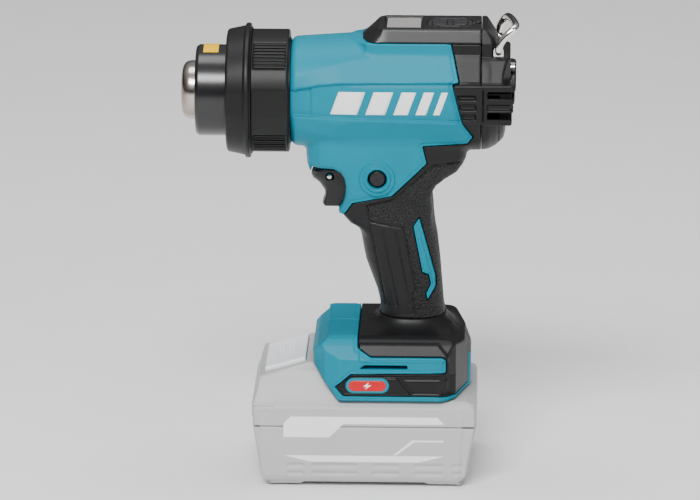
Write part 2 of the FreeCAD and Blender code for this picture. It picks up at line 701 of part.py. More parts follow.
def upper_volume(inset):
    main = [(-46.3, BATTERY_SEAM_Z - 3), (-46.3, BATTERY_TOP_Z), (-30, 43.6), (58, 43.6),
            (63, BATTERY_TOP_Z), (63.3, BATTERY_SEAM_Z - 3)]
    section = [(-BATTERY_HALF_WIDTH, 20), (-BATTERY_HALF_WIDTH, 40.5), (-34, 43.6),
               (34, 43.6), (BATTERY_HALF_WIDTH, 40.5), (BATTERY_HALF_WIDTH, 20)]
    nose = [(-46.3, 35), (-46.1, 41), (-42.7, 53.6), (-19, 60.2), (-16.6, 59.9), (-4.7, 43.9),
            (-4.7, 35)]
    nose_section = [(-BATTERY_HALF_WIDTH, 20), (-BATTERY_HALF_WIDTH, 41), (-27, 56),
                    (-25, 64), (25, 64), (27, 56), (BATTERY_HALF_WIDTH, 41),
                    (BATTERY_HALF_WIDTH, 20)]
    low = prism_xz(shrink(main, inset), -50, 50).common(prism_yz(shrink(section, inset), -60, 80))
    high = prism_xz(shrink(nose, inset), -50, 50)
    high = high.common(prism_yz(shrink(nose_section, inset), -60, 80))
    rail = block(-12 + inset, 28 - inset, inset - 20.4, 20.4 - inset, 38, RAIL_TOP_Z - inset)
    return fuse([low, high, rail])


def battery_upper_case():
    case = upper_volume(0).cut(upper_volume(2))
    case = case.fuse(both_sides(block(-12, 28, 20.4, 25.4, 47, RAIL_TOP_Z)))
    case = case.cut(block(-60, 80, -50, 50, 20, BATTERY_SEAM_Z))
    case = case.cut(both_sides(block(11, 30, 6.8, 9.2, 46.5, 60)))
    case = case.cut(prism_xz(BUTTON_WELL, -21.4, 21.4))
    return max(case.removeSplitter().Solids, key=lambda s: s.Volume)


def cell_places():
    return [(7.6 + (k - 2) * 18.7, z) for k in range(5) for z in (12.2, 30.7)]


def battery_cells():
    cells = [cylinder_y(x, z, CELL_R, -CELL_LENGTH / 2, CELL_LENGTH / 2) for x, z in cell_places()]
    return Part.makeCompound(cells)


def cell_holder():
    """Two side plates that the cells pass through, and the deck over them."""
    plates = []
    for y0 in (-30, 27):
        plate = prism_xz([(-35.6, 3.2), (-40.2, 10), (-41.2, 40.8), (56, 40.8), (56, 7.5),
                          (52.4, 3.2)], y0, y0 + 3)
        for x, z in cell_places():
            plate = plate.cut(cylinder_y(x, z, CELL_R + 0.05, -40, 40))
        plates.append(plate)
    deck = block(-41, 56, -30, 30, 40.1, 40.8)
    return fuse(plates + [deck])


def battery_contacts():
    leaves = [block(13, 25, y, y + 0.5, 44.6, 49.5) for y in (5.9, 9.6)]
    return both_sides(Part.makeCompound(leaves))


def release_button():
    return prism_xz([(-40.6, 52), (-40.6, 55.4), (-20.6, 61), (-20.6, 57.6)], -21, 21)


def release_latch():
    bar = block(-31, -17.6, -9, 9, 49, 51.5)
    post = prism_xz([(-31, 51), (-31, 54.6), (-27, 55.8), (-27, 51)], -9, 9)
    return bar.fuse(post)


def latch_spring():
    spring = coil(2.6, 0.4, 1.8, 7.2)
    spring.translate(V(-28, 0, 41.3))
    return spring


def battery_screw_shapes(low, gap):
    """The four case screws, or the wells they sit in when grown by a clearance."""
    head, shank = 2.0 + gap, 1.2 + gap
    return [cylinder_z(x, y, shank, low, 12).fuse(cylinder_z(x, y, head, low, 2.2))
            for x in (-36, 54) for y in (-34, 34)]


def battery_parts():
    wells = Part.makeCompound(battery_screw_shapes(-1, 0.05))
    return {"battery_lower_case": battery_lower_case().cut(wells),
            "battery_upper_case": battery_upper_case(),
            "battery_cells": battery_cells(), "cell_holder": cell_holder(),
            "battery_board": block(-9, 25, -17.5, 17.5, 43, 44.6),
            "battery_contacts": battery_contacts(), "release_button": release_button(),
            "release_latch": release_latch(), "latch_spring": latch_spring(),
            "battery_screws": Part.makeCompound(battery_screw_shapes(1.2, 0))}


PARTS = {}


def export_all():
    os.makedirs("parts", exist_ok=True)
    for name, shape in PARTS.items():
        shape.exportStep("parts/%s.step" % name)
        print("%-20s valid=%s solids=%d volume=%.1f" % (
            name, shape.isValid(), len(shape.Solids), shape.Volume))


for group in (housing_parts(), console_parts(), front_parts(), fan_parts(), trigger_parts(),
              foot_parts(), battery_parts()):
    PARTS.update(group)
PARTS["rear_cover"] = rear_cover()
PARTS["rear_screw"] = rear_screw()
PARTS["hook"] = hook()
PARTS["hook_eyelets"] = hook_eyelets()
export_all()
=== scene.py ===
"""The looks of a cordless heat gun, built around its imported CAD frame.

Shapes are worked out in millimetres as signed distances (negative inside) on a regular
grid and then meshed. "side" is the distance from the middle plane, so one formula makes
both sides of the tool.
"""
import bmesh
import bpy
import functools
import json
import math
import numpy as np
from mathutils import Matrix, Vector


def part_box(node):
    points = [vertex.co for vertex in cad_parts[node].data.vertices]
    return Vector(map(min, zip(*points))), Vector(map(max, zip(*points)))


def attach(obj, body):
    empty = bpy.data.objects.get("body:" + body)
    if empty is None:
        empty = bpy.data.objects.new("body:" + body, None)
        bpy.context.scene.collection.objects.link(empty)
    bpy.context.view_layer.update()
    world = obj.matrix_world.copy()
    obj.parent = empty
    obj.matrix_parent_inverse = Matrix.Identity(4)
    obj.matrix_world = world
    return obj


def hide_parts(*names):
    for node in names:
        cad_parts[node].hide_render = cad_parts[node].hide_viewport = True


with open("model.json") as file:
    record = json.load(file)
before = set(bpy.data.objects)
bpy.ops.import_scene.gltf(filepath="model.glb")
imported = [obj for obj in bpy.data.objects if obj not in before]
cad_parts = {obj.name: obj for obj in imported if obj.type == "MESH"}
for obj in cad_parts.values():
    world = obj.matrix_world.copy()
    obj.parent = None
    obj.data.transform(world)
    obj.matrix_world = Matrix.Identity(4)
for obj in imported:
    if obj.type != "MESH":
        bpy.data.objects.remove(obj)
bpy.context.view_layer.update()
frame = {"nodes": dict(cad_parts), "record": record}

MM = 0.001
WELD = 3e-6                           # points nearer than this, in metres, are joined
FINE = 0.5     # grid step of the large mouldings
SMALL_STEP = 0.25                     # grid step of the keys and the lens


SIDES = (("left", -1), ("right", 1))


def node_box(name):
    """A CAD node's box in millimetres: (x0, y0, z0), (x1, y1, z1)."""
    low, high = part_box(name)
    return [c / MM for c in low], [c / MM for c in high]


def node_middle(name):
    return [(a + b) / 2 for a, b in zip(*node_box(name))]


# ---- driving dimensions, in millimetres and mostly from the frame ----
BARREL_Z = node_middle("front_guard")[2]
HEAD_FRONT_X = -28.0
SEAM_X = node_box("console_housing")[1][0]
REAR_X = node_box("rear_cover")[1][0]
CONSOLE_TOP_Z = node_box("console_housing")[1][2]
FOOT_Z = node_box("left_housing")[0][2]
FOOT_HALF_WIDTH = -node_box("left_housing")[0][1]
FOOT_TOP_Z = FOOT_Z + 31
GRIP_BOTTOM_Z = 80.5
COLLAR_REAR_X = node_box("guard_collar")[1][0]
LOCK_X, _, LOCK_Z = node_middle("lock_button")
LOCK_BORE_R = 4.65
PIN_X, _, PIN_Z = node_middle("trigger_pin")
PAD_X = node_middle("control_pad")[0]
PAD_R = node_box("control_pad")[1][0] - PAD_X
JOINT_GAP = 0.12           # left between two mouldings that meet
COVER_GAP = 0.16           # left on each side of the teal's edge
COVER_END_GAP = 0.15       # between a grip cover and the foot panel below
HALF_GAP = 0.04            # left by each housing half at the middle plane
HEAD_FLAT_TILT = 32.3      # degrees that the head's flats lean
CONSOLE_EDGE_Z = 218.3     # where the console's sides begin to lean in
CONSOLE_SIDE = 18.05
CASE_SPLIT_Z = 31          # where the battery's two cases meet
CASE_X = (-46.3, 63.3)
CASE_SIDE = 38.5
KEY_X = 5.0                # the two bar keys' distance from the pad's middle
REAR_SCREW_Z = 202.5
GUARD_FLAT_SIDE = 29.15    # the flats on both sides of the guard and collar
COLLAR_MIDDLE_X = -38
KNURL_ANGLE = 48.5         # degrees above and below the side, middle of the ribbed part
KNURL_REACH = 15           # degrees either way from there
KNURL_PITCH = 3.75         # degrees from rib to rib
KNURL_R = 0.52             # also the millimetres to a degree at the ribs


# ---- distance-field tools ----
def grid(x_range, y_range, z_range, step):
    """Coordinate arrays over a box, with a margin, that broadcast against each other.

    The odd margins keep flat faces off the grid's own layers, where they would mesh badly.
    The middle plane stays on one, because both_halves mirrors about it.
    """
    axes = [np.arange(a - lead * step, b + 3 * step, step, dtype=np.float32)
            for (a, b), lead in ((x_range, 2.37), (y_range, 2), (z_range, 2.29))]
    return axes[0][:, None, None], axes[1][None, :, None], axes[2][None, None, :]


def smax(a, b, radius):
    """Intersection whose edge is rounded to about the radius."""
    h = np.maximum(radius - np.abs(a - b), 0) / radius
    return np.maximum(a, b) + h * h * radius / 4


def smin(a, b, radius):
    """Union whose inner corner is filleted to about the radius."""
    return -smax(-a, -b, radius)


def overlap(*fields):
    """What is inside every field."""
    return functools.reduce(np.maximum, fields)


def union(*fields):
    """What is inside any field."""
    return functools.reduce(np.minimum, fields)


def cut(shape, *tools):
    """What is inside the shape and outside every tool."""
    for tool in tools:
        shape = np.maximum(shape, -tool)
    return shape


def band(u, centre, half):
    """Signed distance to the stretch of one coordinate about a centre."""
    return np.abs(u - centre) - half


def outline(points, u, v):
    """Signed distance to a closed outline in the (u, v) plane."""
    nearest = None
    inside = False
    for (ax, ay), (bx, by) in zip(points, points[1:] + points[:1]):
        ex, ey = bx - ax, by - ay
        wx, wy = u - ax, v - ay
        t = np.clip((wx * ex + wy * ey) / (ex * ex + ey * ey), 0, 1)
        gap = (wx - ex * t) ** 2 + (wy - ey * t) ** 2
        nearest = gap if nearest is None else np.minimum(nearest, gap)
        if ay != by:
            inside = inside ^ (((ay > v) != (by > v)) & (u < ex * (v - ay) / ey + ax))
    return np.where(inside, -1, 1).astype(np.float32) * np.sqrt(nearest)


def along(x, table):
    """Values read off a table of places and values."""
    return np.interp(x, *table).astype(np.float32)


def far(a, b):
    """Distance from two right-angled parts."""
    return np.sqrt(a ** 2 + b ** 2)


def mirrored(points, u, side):
    """Signed distance to a full outline from its half, which starts and ends on side 0."""
    return outline(points + [(a, -b) for a, b in points[-2:0:-1]], u, side)


def ramp(distance, width):
    """1 well inside an outline, 0 outside it, with a soft bevel of the given width."""
    t = np.clip(0.5 - distance / width, 0, 1)
    return t * t * (3 - 2 * t)


def line(a, b, u, v):
    """Distance to the stretch between two points."""
    ex, ey = b[0] - a[0], b[1] - a[1]
    t = np.clip(((u - a[0]) * ex + (v - a[1]) * ey) / (ex * ex + ey * ey), 0, 1)
    return np.sqrt((u - a[0] - ex * t) ** 2 + (v - a[1] - ey * t) ** 2)


def polyline(points, u, v):
    """Distance to an open run of points."""
    return union(*(line(a, b, u, v) for a, b in zip(points, points[1:])))


def surface_net(field, axes):
    """Vertices and outward quads of the field's zero surface."""
    shape = field.shape
    strides = np.array([shape[1] * shape[2], shape[2], 1])
    rings, places = [], []
    for axis in range(3):
        low, high = [slice(None)] * 3, [slice(None)] * 3
        low[axis], high[axis] = slice(None, -1), slice(1, None)
        a, b = field[tuple(low)], field[tuple(high)]
        at = np.argwhere((a < 0) != (b < 0))
        va, vb = a[tuple(at.T)], b[tuple(at.T)]
        place = at.astype(float)
        place[:, axis] += va / (va - vb)
        u, v = (axis + 1) % 3, (axis + 2) % 3
        ring = []
        for du, dv in ((0, 0), (-1, 0), (-1, -1), (0, -1)):
            cell = at.copy()
            cell[:, u] += du
            cell[:, v] += dv
            ring.append(cell @ strides)
        ring = np.stack(ring, 1)
        ring[va > 0] = ring[va > 0][:, ::-1]
        rings.append(ring)
        places.append(np.repeat(place, 4, axis=0))
    rings, places = np.concatenate(rings), np.concatenate(places)
    _, index = np.unique(rings.ravel(), return_inverse=True)
    index = index.ravel()
    count = np.bincount(index)
    mean = np.stack([np.bincount(index, places[:, k]) / count for k in range(3)], 1)
    origin = np.array([a.flat[0] for a in axes])
    step = axes[0].flat[1] - axes[0].flat[0]
    return mean * step + origin, index.reshape(-1, 4)


# ---- turning fields and curves into pieces ----
def add_object(name, data):
    made = bpy.data.objects.new(name, data)
    bpy.context.scene.collection.objects.link(made)
    return made


def new_piece(name, verts, faces, material, body, node=None, smooth=True):
    """A mesh from millimetre vertices, riding on a body in place of a CAD node.
    """
    mesh = bpy.data.meshes.new(name)
    mesh.from_pydata((np.asarray(verts) * MM).tolist(), [], np.asarray(faces).tolist()
                     if isinstance(faces, np.ndarray) else faces)
    mesh.polygons.foreach_set("use_smooth", [smooth] * len(mesh.polygons))
    mesh.update()
    piece = add_object(name, mesh)
    mesh.materials.append(material)
    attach(piece, body)
    if node:
        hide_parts(node)
    return piece


def field_pair(name, field, axes, material, body, node, wells=None):
    """A piece on the right from a field and its mirror image on the left.

    Where body and node have {}, it stands for the side. wells is a field that is cut out
    of the right piece only.
    """
    pair = []
    for side, sign in SIDES:
        cut_field = field if wells is None or sign < 0 else cut(field, wells)
        verts, faces = surface_net(cut_field, axes)
        if sign < 0:
            verts, faces = verts * np.array([1, -1, 1]), faces[:, ::-1]
        pair.append(tidy(new_piece(name + "_" + side, verts, faces, material,
                                   body.format(side), node.format(side))))
    return pair


def both_halves(name, field, axes, material, body, node):
    """One closed piece, symmetric about the middle plane, from the field of its half."""
    x, side, z = axes
    start = int(np.argmin(np.abs(side)))
    field = np.broadcast_to(field, (x.size, side.size, z.size))
    whole = np.concatenate([field[:, :start:-1], field[:, start:]], axis=1)
    across = np.concatenate([-side[:, :start:-1], side[:, start:]], axis=1)
    verts, faces = surface_net(whole, (x, across, z))
    return tidy(new_piece(name, verts, faces, material, body, node))


def turned_piece(name, profile, material, body, node=None, axis="x", centre=(0, 0),
                 sections=128):
    """A ring or rod from closed (along, radius) points, turned about an X or Y axis.

    centre is the axis's place: (y, z) for an X axis and (x, z) for a Y axis.
    """
    verts, faces = [], []
    count = len(profile)
    for k in range(sections):
        a = 2 * math.pi * k / sections
        for along, radius in profile:
            u, v = centre[0] + radius * math.cos(a), centre[1] + radius * math.sin(a)
            verts.append((along, u, v) if axis == "x" else (u, along, v))
        for i in range(count):
            j = (i + 1) % count
            nxt = (k + 1) % sections * count
            faces.append((k * count + i, nxt + i, nxt + j, k * count + j))
    return tidy(new_piece(name, verts, faces, material, body, node))


def tidy(piece):
    """Weld doubled points, drop collapsed faces and point every face outwards."""
    work = bmesh.new()
    work.from_mesh(piece.data)
    bmesh.ops.remove_doubles(work, verts=work.verts, dist=WELD)
    bmesh.ops.recalc_face_normals(work, faces=work.faces)
    work.to_mesh(piece.data)
    work.free()
    return piece


def smooth_path(points, rounds=4):
    """Corner-cut an open path until it runs as a smooth curve, its ends kept."""
    for _ in range(rounds):
        cut = [points[0]]
        for a, b in zip(points, points[1:]):
            cut.append(tuple(p * 0.75 + q * 0.25 for p, q in zip(a, b)))
            cut.append(tuple(p * 0.25 + q * 0.75 for p, q in zip(a, b)))
        points = cut + [points[-1]]
    return points


def tube_piece(name, path, radii, material, body, node=None, sides=20):
    """A round wire along a smooth path; radii are those at its ends and its middle."""
    path = [Vector(p) for p in path]
    verts, faces, side = [], [], Vector((0, 0, 1))
    for i, here in enumerate(path):
        run = (path[min(i + 1, len(path) - 1)] - path[max(i - 1, 0)]).normalized()
        side = (side - run * side.dot(run)).normalized()
        other = run.cross(side)
        middle = min(1, 5 * min(i, len(path) - 1 - i) / len(path))
        radius = radii[0] + (radii[1] - radii[0]) * middle
        for k in range(sides):
            a = 2 * math.pi * k / sides
            verts.append(tuple(here + (side * math.cos(a) + other * math.sin(a)) * radius))
    for i in range(len(path) - 1):
        for k in range(sides):
            j = (k + 1) % sides
            faces.append((i * sides + k, i * sides + j, (i + 1) * sides + j,
                          (i + 1) * sides + k))
    faces.append(tuple(reversed(range(sides))))
    faces.append(tuple((len(path) - 1) * sides + k for k in range(sides)))
    return tidy(new_piece(name, verts, faces, material, body, node))


def rounded_profile(points, radius, steps=4):
    """Round every corner of a closed profile by up to the radius."""
    result = []
    for i, here in enumerate(points):
        here = np.array(here, float)
        before = np.array(points[i - 1], float) - here
        after = np.array(points[(i + 1) % len(points)], float) - here
        r = min(radius, np.linalg.norm(before) * 0.45, np.linalg.norm(after) * 0.45)
        a = here + before / np.linalg.norm(before) * r
        b = here + after / np.linalg.norm(after) * r
        for t in np.linspace(0, 1, steps + 1):
            result.append(tuple((1 - t) ** 2 * a + 2 * t * (1 - t) * here + t * t * b))
    return result


# ---- materials ----
GRAIN_DEPTH = 0.0002           # metres that a fine grain stands up
LEATHER_SHARE = 1.6            # height of the leather grain against the fine grain
GLOSS_SPREAD = 0.06            # how far roughness strays either way
TONE_SCALE = 28.0
PATCH_SCALE = 70.0
STREAK_SCALE = (60, 900, 900)  # streaks run along X
SLOT_MATERIALS = {}


def node_material(name, slot):
    """A new material that stands for a record's slot; a slot's first one dresses its nodes."""
    made = bpy.data.materials.new(name)
    SLOT_MATERIALS.setdefault(slot, made)
    made.use_nodes = True
    tree = made.node_tree
    return made, tree, tree.nodes["Principled BSDF"]


def add_node(tree, kind, **values):
    node = tree.nodes.new(kind)
    for key, value in values.items():
        if key in node.inputs:
            node.inputs[key].default_value = value
        else:
            setattr(node, key, value)
    return node


def link_range(tree, source, low, high, target):
    """Drive a socket between two values."""
    spread = add_node(tree, "ShaderNodeMapRange", **{"To Min": low, "To Max": high})
    tree.links.new(source, spread.inputs["Value"])
    tree.links.new(spread.outputs["Result"], target)


def link_tones(tree, source, tones, target):
    """Drive a colour socket between two tones, each a (position, colour)."""
    shade = add_node(tree, "ShaderNodeValToRGB")
    for stop, (position, colour) in zip(shade.color_ramp.elements, tones):
        stop.position = position
        stop.color = [*colour, 1]
    tree.links.new(source, shade.inputs["Fac"])
    tree.links.new(shade.outputs["Color"], target)


def link_bump(tree, height, strength, depth, shader):
    relief = add_node(tree, "ShaderNodeBump", Strength=strength, Distance=depth)
    tree.links.new(height, relief.inputs["Height"])
    tree.links.new(relief.outputs["Normal"], shader.inputs["Normal"])


def moulded(name, slot, colour, rough, grain=2600, bump=0.12, variation=0.06, cells=0.0,
            coat=0.0, gloss_level=0.3, relief_depth=GRAIN_DEPTH):
    """Moulded plastic or rubber: spark-eroded grain, faint tone and gloss variation.

    cells adds leather grain of that scale.
    """
    made, tree, shader = node_material(name, slot)
    link = tree.links.new
    where = add_node(tree, "ShaderNodeTexCoord").outputs["Object"]
    fine = add_node(tree, "ShaderNodeTexNoise", Scale=grain, Detail=3.0, Roughness=0.6)
    broad = add_node(tree, "ShaderNodeTexNoise", Scale=TONE_SCALE, Detail=4.0, Roughness=0.55)
    link(where, fine.inputs["Vector"])
    link(where, broad.inputs["Vector"])
    height = fine.outputs["Fac"]
    if cells:
        leather = add_node(tree, "ShaderNodeTexVoronoi", Scale=cells, feature="F1")
        link(where, leather.inputs["Vector"])
        mix = add_node(tree, "ShaderNodeMath", operation="MULTIPLY_ADD")
        mix.inputs[1].default_value = LEATHER_SHARE
        link(leather.outputs["Distance"], mix.inputs[0])
        link(fine.outputs["Fac"], mix.inputs[2])
        height = mix.outputs["Value"]
    tones = [(0.3, [c * (1 - variation) for c in colour]),
             (0.75, [min(1, c * (1 + variation)) for c in colour])]
    link_tones(tree, broad.outputs["Fac"], tones, shader.inputs["Base Color"])
    link_range(tree, broad.outputs["Fac"], rough - GLOSS_SPREAD, rough + GLOSS_SPREAD,
               shader.inputs["Roughness"])
    link_bump(tree, height, bump, relief_depth, shader)
    shader.inputs["Coat Weight"].default_value = coat
    shader.inputs["Specular IOR Level"].default_value = gloss_level
    return made


def metal(name, slot, colour, rough, bump=0.03, tint=None):
    """Metal with faint drawn streaks; tint is a second colour in slow patches."""
    made, tree, shader = node_material(name, slot)
    link = tree.links.new
    where = add_node(tree, "ShaderNodeTexCoord").outputs["Object"]
    stretch = add_node(tree, "ShaderNodeMapping", Scale=STREAK_SCALE)
    noise = add_node(tree, "ShaderNodeTexNoise", Scale=1.0, Detail=4.0)
    link(where, stretch.inputs["Vector"])
    link(stretch.outputs["Vector"], noise.inputs["Vector"])
    link_range(tree, noise.outputs["Fac"], rough * 0.7, rough * 1.4, shader.inputs["Roughness"])
    patches = add_node(tree, "ShaderNodeTexNoise", Scale=PATCH_SCALE, Detail=2.0)
    link(where, patches.inputs["Vector"])
    tones = [(0.35, tint or [c * 0.9 for c in colour]), (0.6, colour)]
    link_tones(tree, patches.outputs["Fac"], tones, shader.inputs["Base Color"])
    link_bump(tree, noise.outputs["Fac"], bump, GRAIN_DEPTH, shader)
    shader.inputs["Metallic"].default_value = 1.0
    return made


TEAL = moulded("teal_nylon", "teal_plastic", (0.0, 0.2, 0.285), 0.36, bump=0.05,
               gloss_level=0.1)
BLACK = moulded("black_nylon", "black_plastic", (0.007, 0.007, 0.0075), 0.42, bump=0.1,
                gloss_level=0.25)
SMOOTH_BLACK = moulded("smooth_black", "black_plastic", (0.009, 0.009, 0.01), 0.34, bump=0.04,
                       gloss_level=0.35)
RUBBER = moulded("grip_elastomer", "black_elastomer", (0.0045, 0.0045, 0.005), 0.48,
                 cells=1100, bump=0.9, gloss_level=0.4, relief_depth=0.0005)
KEY = moulded("key_rubber", "key_rubber", (0.022, 0.022, 0.024), 0.5, bump=0.1)
LCD = moulded("lcd_window", "lcd_window", (0.37, 0.36, 0.35), 0.22, bump=0.01, coat=0.6,
              variation=0.03)
ENAMEL = moulded("black_enamel", "black_enamel", (0.006, 0.006, 0.007), 0.24, grain=900,
                 bump=0.02, gloss_level=0.6)
RED = moulded("red_badge", "red_badge", (0.55, 0.012, 0.02), 0.3, bump=0.02, gloss_level=0.15)
GREY = moulded("battery_grey", "battery_grey", (0.47, 0.47, 0.47), 0.45, bump=0.1,
               variation=0.03)
PALE_BLUE = moulded("button_grey", "button_grey", (0.92, 0.95, 0.97), 0.42, bump=0.06,
                    variation=0.03)
STEEL = metal("polished_steel", "polished_steel", (0.86, 0.83, 0.79), 0.1)
NOZZLE = metal("nozzle_steel", "nozzle_steel", (0.5, 0.46, 0.42), 0.2, tint=(0.3, 0.25, 0.2))
WHITE = moulded("white_print", "button_grey", (0.86, 0.87, 0.87), 0.4, bump=0.03,
                variation=0.01)
PALE = moulded("pale_grey", "button_grey", (0.9, 0.9, 0.9), 0.42, bump=0.06, variation=0.03)

# these only dress CAD nodes, through their slots
moulded("yellow_foil", "yellow_label", (0.85, 0.5, 0.0), 0.4, bump=0.02, variation=0.03,
        gloss_level=0.1)
moulded("inner_plastic", "inner_plastic", (0.05, 0.05, 0.055), 0.5)
moulded("circuit_board", "circuit_board", (0.02, 0.12, 0.05), 0.35, bump=0.05)
moulded("mica", "mica", (0.5, 0.45, 0.36), 0.5, grain=600, bump=0.3)
moulded("ceramic", "ceramic", (0.75, 0.7, 0.62), 0.7, grain=1500, bump=0.3)
moulded("wire_cover", "wire_insulation", (0.35, 0.02, 0.02), 0.45, bump=0.04)
metal("plain_steel", "plain_steel", (0.5, 0.5, 0.5), 0.35, bump=0.08)
metal("brass", "brass", (0.8, 0.6, 0.28), 0.25)


def dress_cad_nodes():
    """Give every CAD node the material of its slot."""
    slots = {s["node"]: s["material_slot"] for s in frame["record"]["subparts"]}
    for name, piece in frame["nodes"].items():
        piece.data.materials.clear()
        piece.data.materials.append(SLOT_MATERIALS[slots[name]])


# ---- the moulded body, shared by the housing halves and their covers ----
HEAD_RADIUS = ([-28, 4, SEAM_X, 90], [26.5, 28.7, 28.2, 28.2])
HEAD_FLAT = ([-26, -4, SEAM_X], [26.5, 27.75, 27.35])
NECK_OUTLINE = [(-21.6, 178), (-21.7, 160.8), (-20.8, 155.4), (-19.6, 152.9), (-18, 152.4),
                (-17.6, 155), (-7, 155), (-3.8, 153.4), (-1.9, 150.5), (-1.1, 146.4),
                (-1.5, 141.2), (-2.6, 137.4), (-4.8, 134), (-4.6, 132.4), (-2.4, 131.2),
                (1.2, 126.9), (4.7, 125.2), (10, 122), (40, 122), (41, 134.5), (40.4, 140),
                (41, 144), (42.8, 147), (46.8, 149.9), (52.7, 152.9), (55.5, 156),
                (57.4, 159.2), (58.4, 163.5), (60, 168), (60, 178)]
NECK_PLAN = [(-21.8, 0), (-21.6, 7), (-19.5, 12.5), (-14, 17), (-6, 19), (34, 19.2),
             (46, 17.5), (54, 13.5), (59, 8), (60, 0)]
# each: heights, then the front's x, the back's x or the half width there
GRIP_FRONT = ([70, 80, 85.9, 91.9, 98, 107.1, 113.2, 119.3, 123, 125.2, 126.9, 128.8, 131.2,
               132.6, 134.4, 137.4, 140, 160],
              [16.2, 15.9, 15.3, 13.9, 11.6, 8.3, 7.1, 6.1, 4.9, 3.5, 1.6, 0.1, -2.0,
               -3.4, -3.3, 0.8, 3, 4])
GRIP_BACK = ([70, 82.8, 95, 107.1, 119.3, 128.4, 134.5, 139, 160],
             [47.4, 46.8, 45.8, 44.8, 43.4, 41.5, 39.8, 38.6, 37.5])
GRIP_SIDE = ([70, 86, 100, 115, 126, 134, 142, 150],
             [17.6, 17.0, 16.6, 16.7, 17.2, 16.6, 15, 13])
GRIP_POWER = 2.5           # 2 is an ellipse, more is squarer
FOOT_OUTLINE = [(-4.2, FOOT_Z), (-16, 59.5), (-17, 67), (-14.5, 70), (-9.6, 74.2),
                (-7.5, FOOT_TOP_Z), (44, FOOT_TOP_Z), (50, 73.6), (57, 69.5), (60.5, 63),
                (60.5, FOOT_Z)]
FOOT_PLAN = [(-19, 0), (-18.6, 24), (-11, 35), (-3, 38), (45.5, 38), (49.5, 36), (53, 31.5),
             (58.2, 12), (60.2, 6), (60.4, 0)]
FOOT_SECTION = [(0, 30), (38, 30), (38, 64.5), (33.3, 71.2), (32.6, 72), (31.1, 73.6),
                (28, 75), (0, 75)]
TEAL_EDGE = [(46, 235), (53.7, 201), (50.7, 199.7), (55.7, 180.6), (60.6, 173.0),
             (57.8, 168.9), (51.0, 168.2), (36.2, 167.5), (38.3, 158.9),
             (21.3, 142.3), (2, 138.2), (-1.1, 133.4), (-3.4, 130), (-8, 124),
             (-8, GRIP_BOTTOM_Z), (80, GRIP_BOTTOM_Z), (80, 235)]
INLAY_OUTLINE = [(34.7, 131.2), (31.6, 126.5), (36.1, 103.1), (39.2, 101.7), (40.2, 96.7),
                 (37.9, 92.5), (38.8, 88.9), (42.9, 95.6), (42.6, 101)]
LOGO_BAND = [(-34, 5.9), (-25.3, 5.9), (-14, 8.4), (-3, 9.6), (70, 10.2), (70, -9.8),
             (-16, -7), (-25, -6.6), (-34, -6.6)]
LOGO_FRONT = [(-34, 6.2), (-17.6, 7.8), (-17.6, -6.9), (-34, -6.2)]
FOOT_ZONE = [(5.3, 90), (5.3, 70), (11.7, 66.2), (46.6, 66.2), (48.4, 65), (48.4, 58.3),
             (1.9, 57.5), (-5.6, 51), (-1.9, 46.7), (44, 46.5), (49, 46.2), (70, 46.2),
             (70, 90)]
FOOT_SLOT = [(5.6, 60.2), (8.2, 62.2), (29.6, 62.2), (29.6, 60.2)]
SLOT_OPENING = [(6.6, 60.2), (9.0, 62.2), (29.4, 62.2), (29.4, 60.2)]
RAIL_WAY_TOP = 53
RAIL_WAY_END = 53
HOOK_NOTCH = (24.5, -6.5, 62.5, 73.0)  # side from, x up to, z from, z to
BADGE_PANEL = [(-3.5, 51), (2.4, 55.8), (24.2, 55.8), (31.1, 47.3), (-1.2, 47.3)]
REAR_PANEL = [(27.3, 54.5), (48.9, 54.5), (48.9, 50.9), (45.4, 47.3), (32.6, 47.3)]
SLOPE_PANEL = [(6.0, 64), (6.0, 71.9), (44.3, 71.9), (49.5, 66.5), (49.5, 64)]
SCREWS = [(-13.5, 161), (29, 160), (50, 160), (33.5, 127), (31, 88), (0, 68), (52, 62)]
SCREW_WELL = (3.9, 14.6, 1.9)
VENT_BLOCK_SIDE = 29.3
VENT_BLOCK = [(50.6, 200.4), (70, 200.4), (70, 181), (55.5, 181)]
LOUVRE_X = (53.6, 61.8)
LOUVRES = [(0, 193.4, 195.4), (4.3, 188.4, 191.1), (9.3, 183.6, 186.1)]
TEXTURE_EDGE = [(53.9, 158.6), (41.2, 157.9), (21.6, 140.1), (9.2, 136.9), (10.6, 128.7),
                (27.1, 125.8), (33, 94.9), (31, 91.7), (32.6, 82.5)]
TEXTURE_ZONE = [(70, 158.6)] + TEXTURE_EDGE[1:-1] + [(32.6, 78), (70, 78)]
GRIP_RIBS = [((10.6, 127.2), (18.4, 86.5)), ((16.5, 125), (24.0, 86.2)),
             ((23, 124.6), (30.2, 87))]
CONSOLE_BASE = [(2.6, 0), (3.0, 9), (8.8, 17.4), (12, 18.2), (99, 18.2)]
CONSOLE_LOW = [(5.0, 0), (6.4, 8), (8.6, 14), (11.1, 17.2), (13.4, 18.05), (99, 18.05)]
CONSOLE_HIGH = [(14.6, 0), (14.4, 9), (14.9, 12.5), (16.6, 14.7), (19, 15.2), (99, 15.2)]
REAR_CAP = ([64.4, 68, 71.5, 75.2, 76.3], [28.2, 27.6, 25.7, 22.2, 18.5])
LEDGE_Z = 211.6
LEDGE_PLAN = [(60, 0), (60, 31), (74.4, 31), (75.4, 22.5), (78.4, 16), (78.4, 0)]
VENT_PLAN = [(64, 0), (64, 29.3), (79.4, 29.3), (81.0, 27.8), (81.5, 25), (81.5, 0)]
VENT_FRONT_X = 67.4
VENT_SLOTS = [(183.6, 187.0), (194.0, 197.4)]
SHOULDER = [(60, 210), (60, 230), (66.9, 230), (66.9, CONSOLE_TOP_Z), (69.6, 220.5),
            (69.6, 210)]
